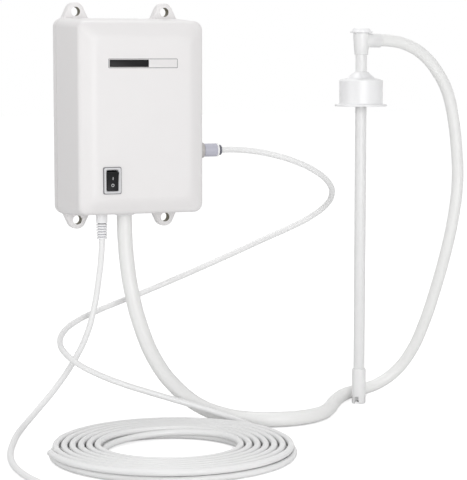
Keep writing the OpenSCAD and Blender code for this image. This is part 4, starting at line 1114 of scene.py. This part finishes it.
def add_mouth():
    """The hollow end of the outlet tube."""
    end = tube_end.y
    line = [(TUBE_BORE / 2, end - FIT), (TUBE_D / 2, end - FIT), (TUBE_D / 2, end + TUBE_MOUTH)]
    line += [(TUBE_BORE / 2, end + TUBE_MOUTH)]
    middle = (tube_end.x, 0, tube_end.z)
    ring = turned("tube_mouth", soften(line, MOUTH_SOFT, 3, closed=True), "Y", middle, 24)
    return dress(ring, "tube_white")


mouth = add_mouth()
dress(hose, "hose_white", replaced=["suction_hose"])
dress(tube, "tube_white", replaced=["outlet_tube", "outlet_coil"])
dress(cord, "cord_white", replaced=["power_cord", "power_coil"])


# Floor, sky and lamps

FLOOR_Z = -0.4025
FLOOR_HALF = 12
FLOOR_GLOW = 0.62
SKY_FILL = 0.55
KEY_AT = (-0.35, -3.3, 0.05)
KEY_SIZE = 2.0
KEY_POWER = 58
SIDE_AT = (-2.6, -0.7, 0.2)
SIDE_SIZE = 1.5
SIDE_POWER = 9
RIM_AT = (0.1, 0.7, 2.2)
RIM_SIZE = 1.2
RIM_POWER = 18
AIM = Vector((0.1, -0.1, -0.1))


def add_floor():
    """A white floor that keeps the soft shadows."""
    corners = ((-1, -1), (1, -1), (1, 1), (-1, 1))
    floor = make("floor", [(x * FLOOR_HALF, y * FLOOR_HALF, FLOOR_Z) for x, y in corners], [(0, 1, 2, 3)])
    finish = surface("floor_white", tone(231, 231, 231), 0.9, cloud=0.004, cloud_scale=3, bump=0)
    nodes = finish.node_tree.nodes
    links = finish.node_tree.links
    shader = nodes["Principled BSDF"]
    shader.inputs["Specular IOR Level"].default_value = 0
    path = nodes.new("ShaderNodeLightPath")
    glow = nodes.new("ShaderNodeMapRange")
    glow.inputs["To Max"].default_value = FLOOR_GLOW
    links.new(path.outputs["Is Camera Ray"], glow.inputs["Value"])
    links.new(glow.outputs["Result"], shader.inputs["Emission Strength"])
    floor.data.materials.append(finish)


def add_sky():
    """White to the camera and in reflections, dimmer as a source of light."""
    sky = bpy.data.worlds.new("sky")
    sky.use_nodes = True
    scene.world = sky
    nodes = sky.node_tree.nodes
    links = sky.node_tree.links
    back = nodes["Background"]
    back.inputs["Color"].default_value = (1, 1, 1, 1)
    path = nodes.new("ShaderNodeLightPath")
    most = nodes.new("ShaderNodeMath")
    most.operation = "MAXIMUM"
    links.new(path.outputs["Is Camera Ray"], most.inputs[0])
    links.new(path.outputs["Is Glossy Ray"], most.inputs[1])
    level = nodes.new("ShaderNodeMapRange")
    level.inputs["To Min"].default_value = SKY_FILL
    level.inputs["To Max"].default_value = 1.0
    links.new(most.outputs["Value"], level.inputs["Value"])
    links.new(level.outputs["Result"], back.inputs["Strength"])


def add_lamp(name, place, size, power):
    """A square area lamp aimed at the object."""
    data = bpy.data.lights.new(name, "AREA")
    data.size = size
    data.energy = power
    lamp = bpy.data.objects.new(name, data)
    lamp.location = place
    lamp.rotation_euler = (AIM - Vector(place)).to_track_quat("-Z", "Y").to_euler()
    scene.collection.objects.link(lamp)


add_floor()
add_sky()
add_lamp("key", KEY_AT, KEY_SIZE, KEY_POWER)
add_lamp("side", SIDE_AT, SIDE_SIZE, SIDE_POWER)
add_lamp("rim", RIM_AT, RIM_SIZE, RIM_POWER)
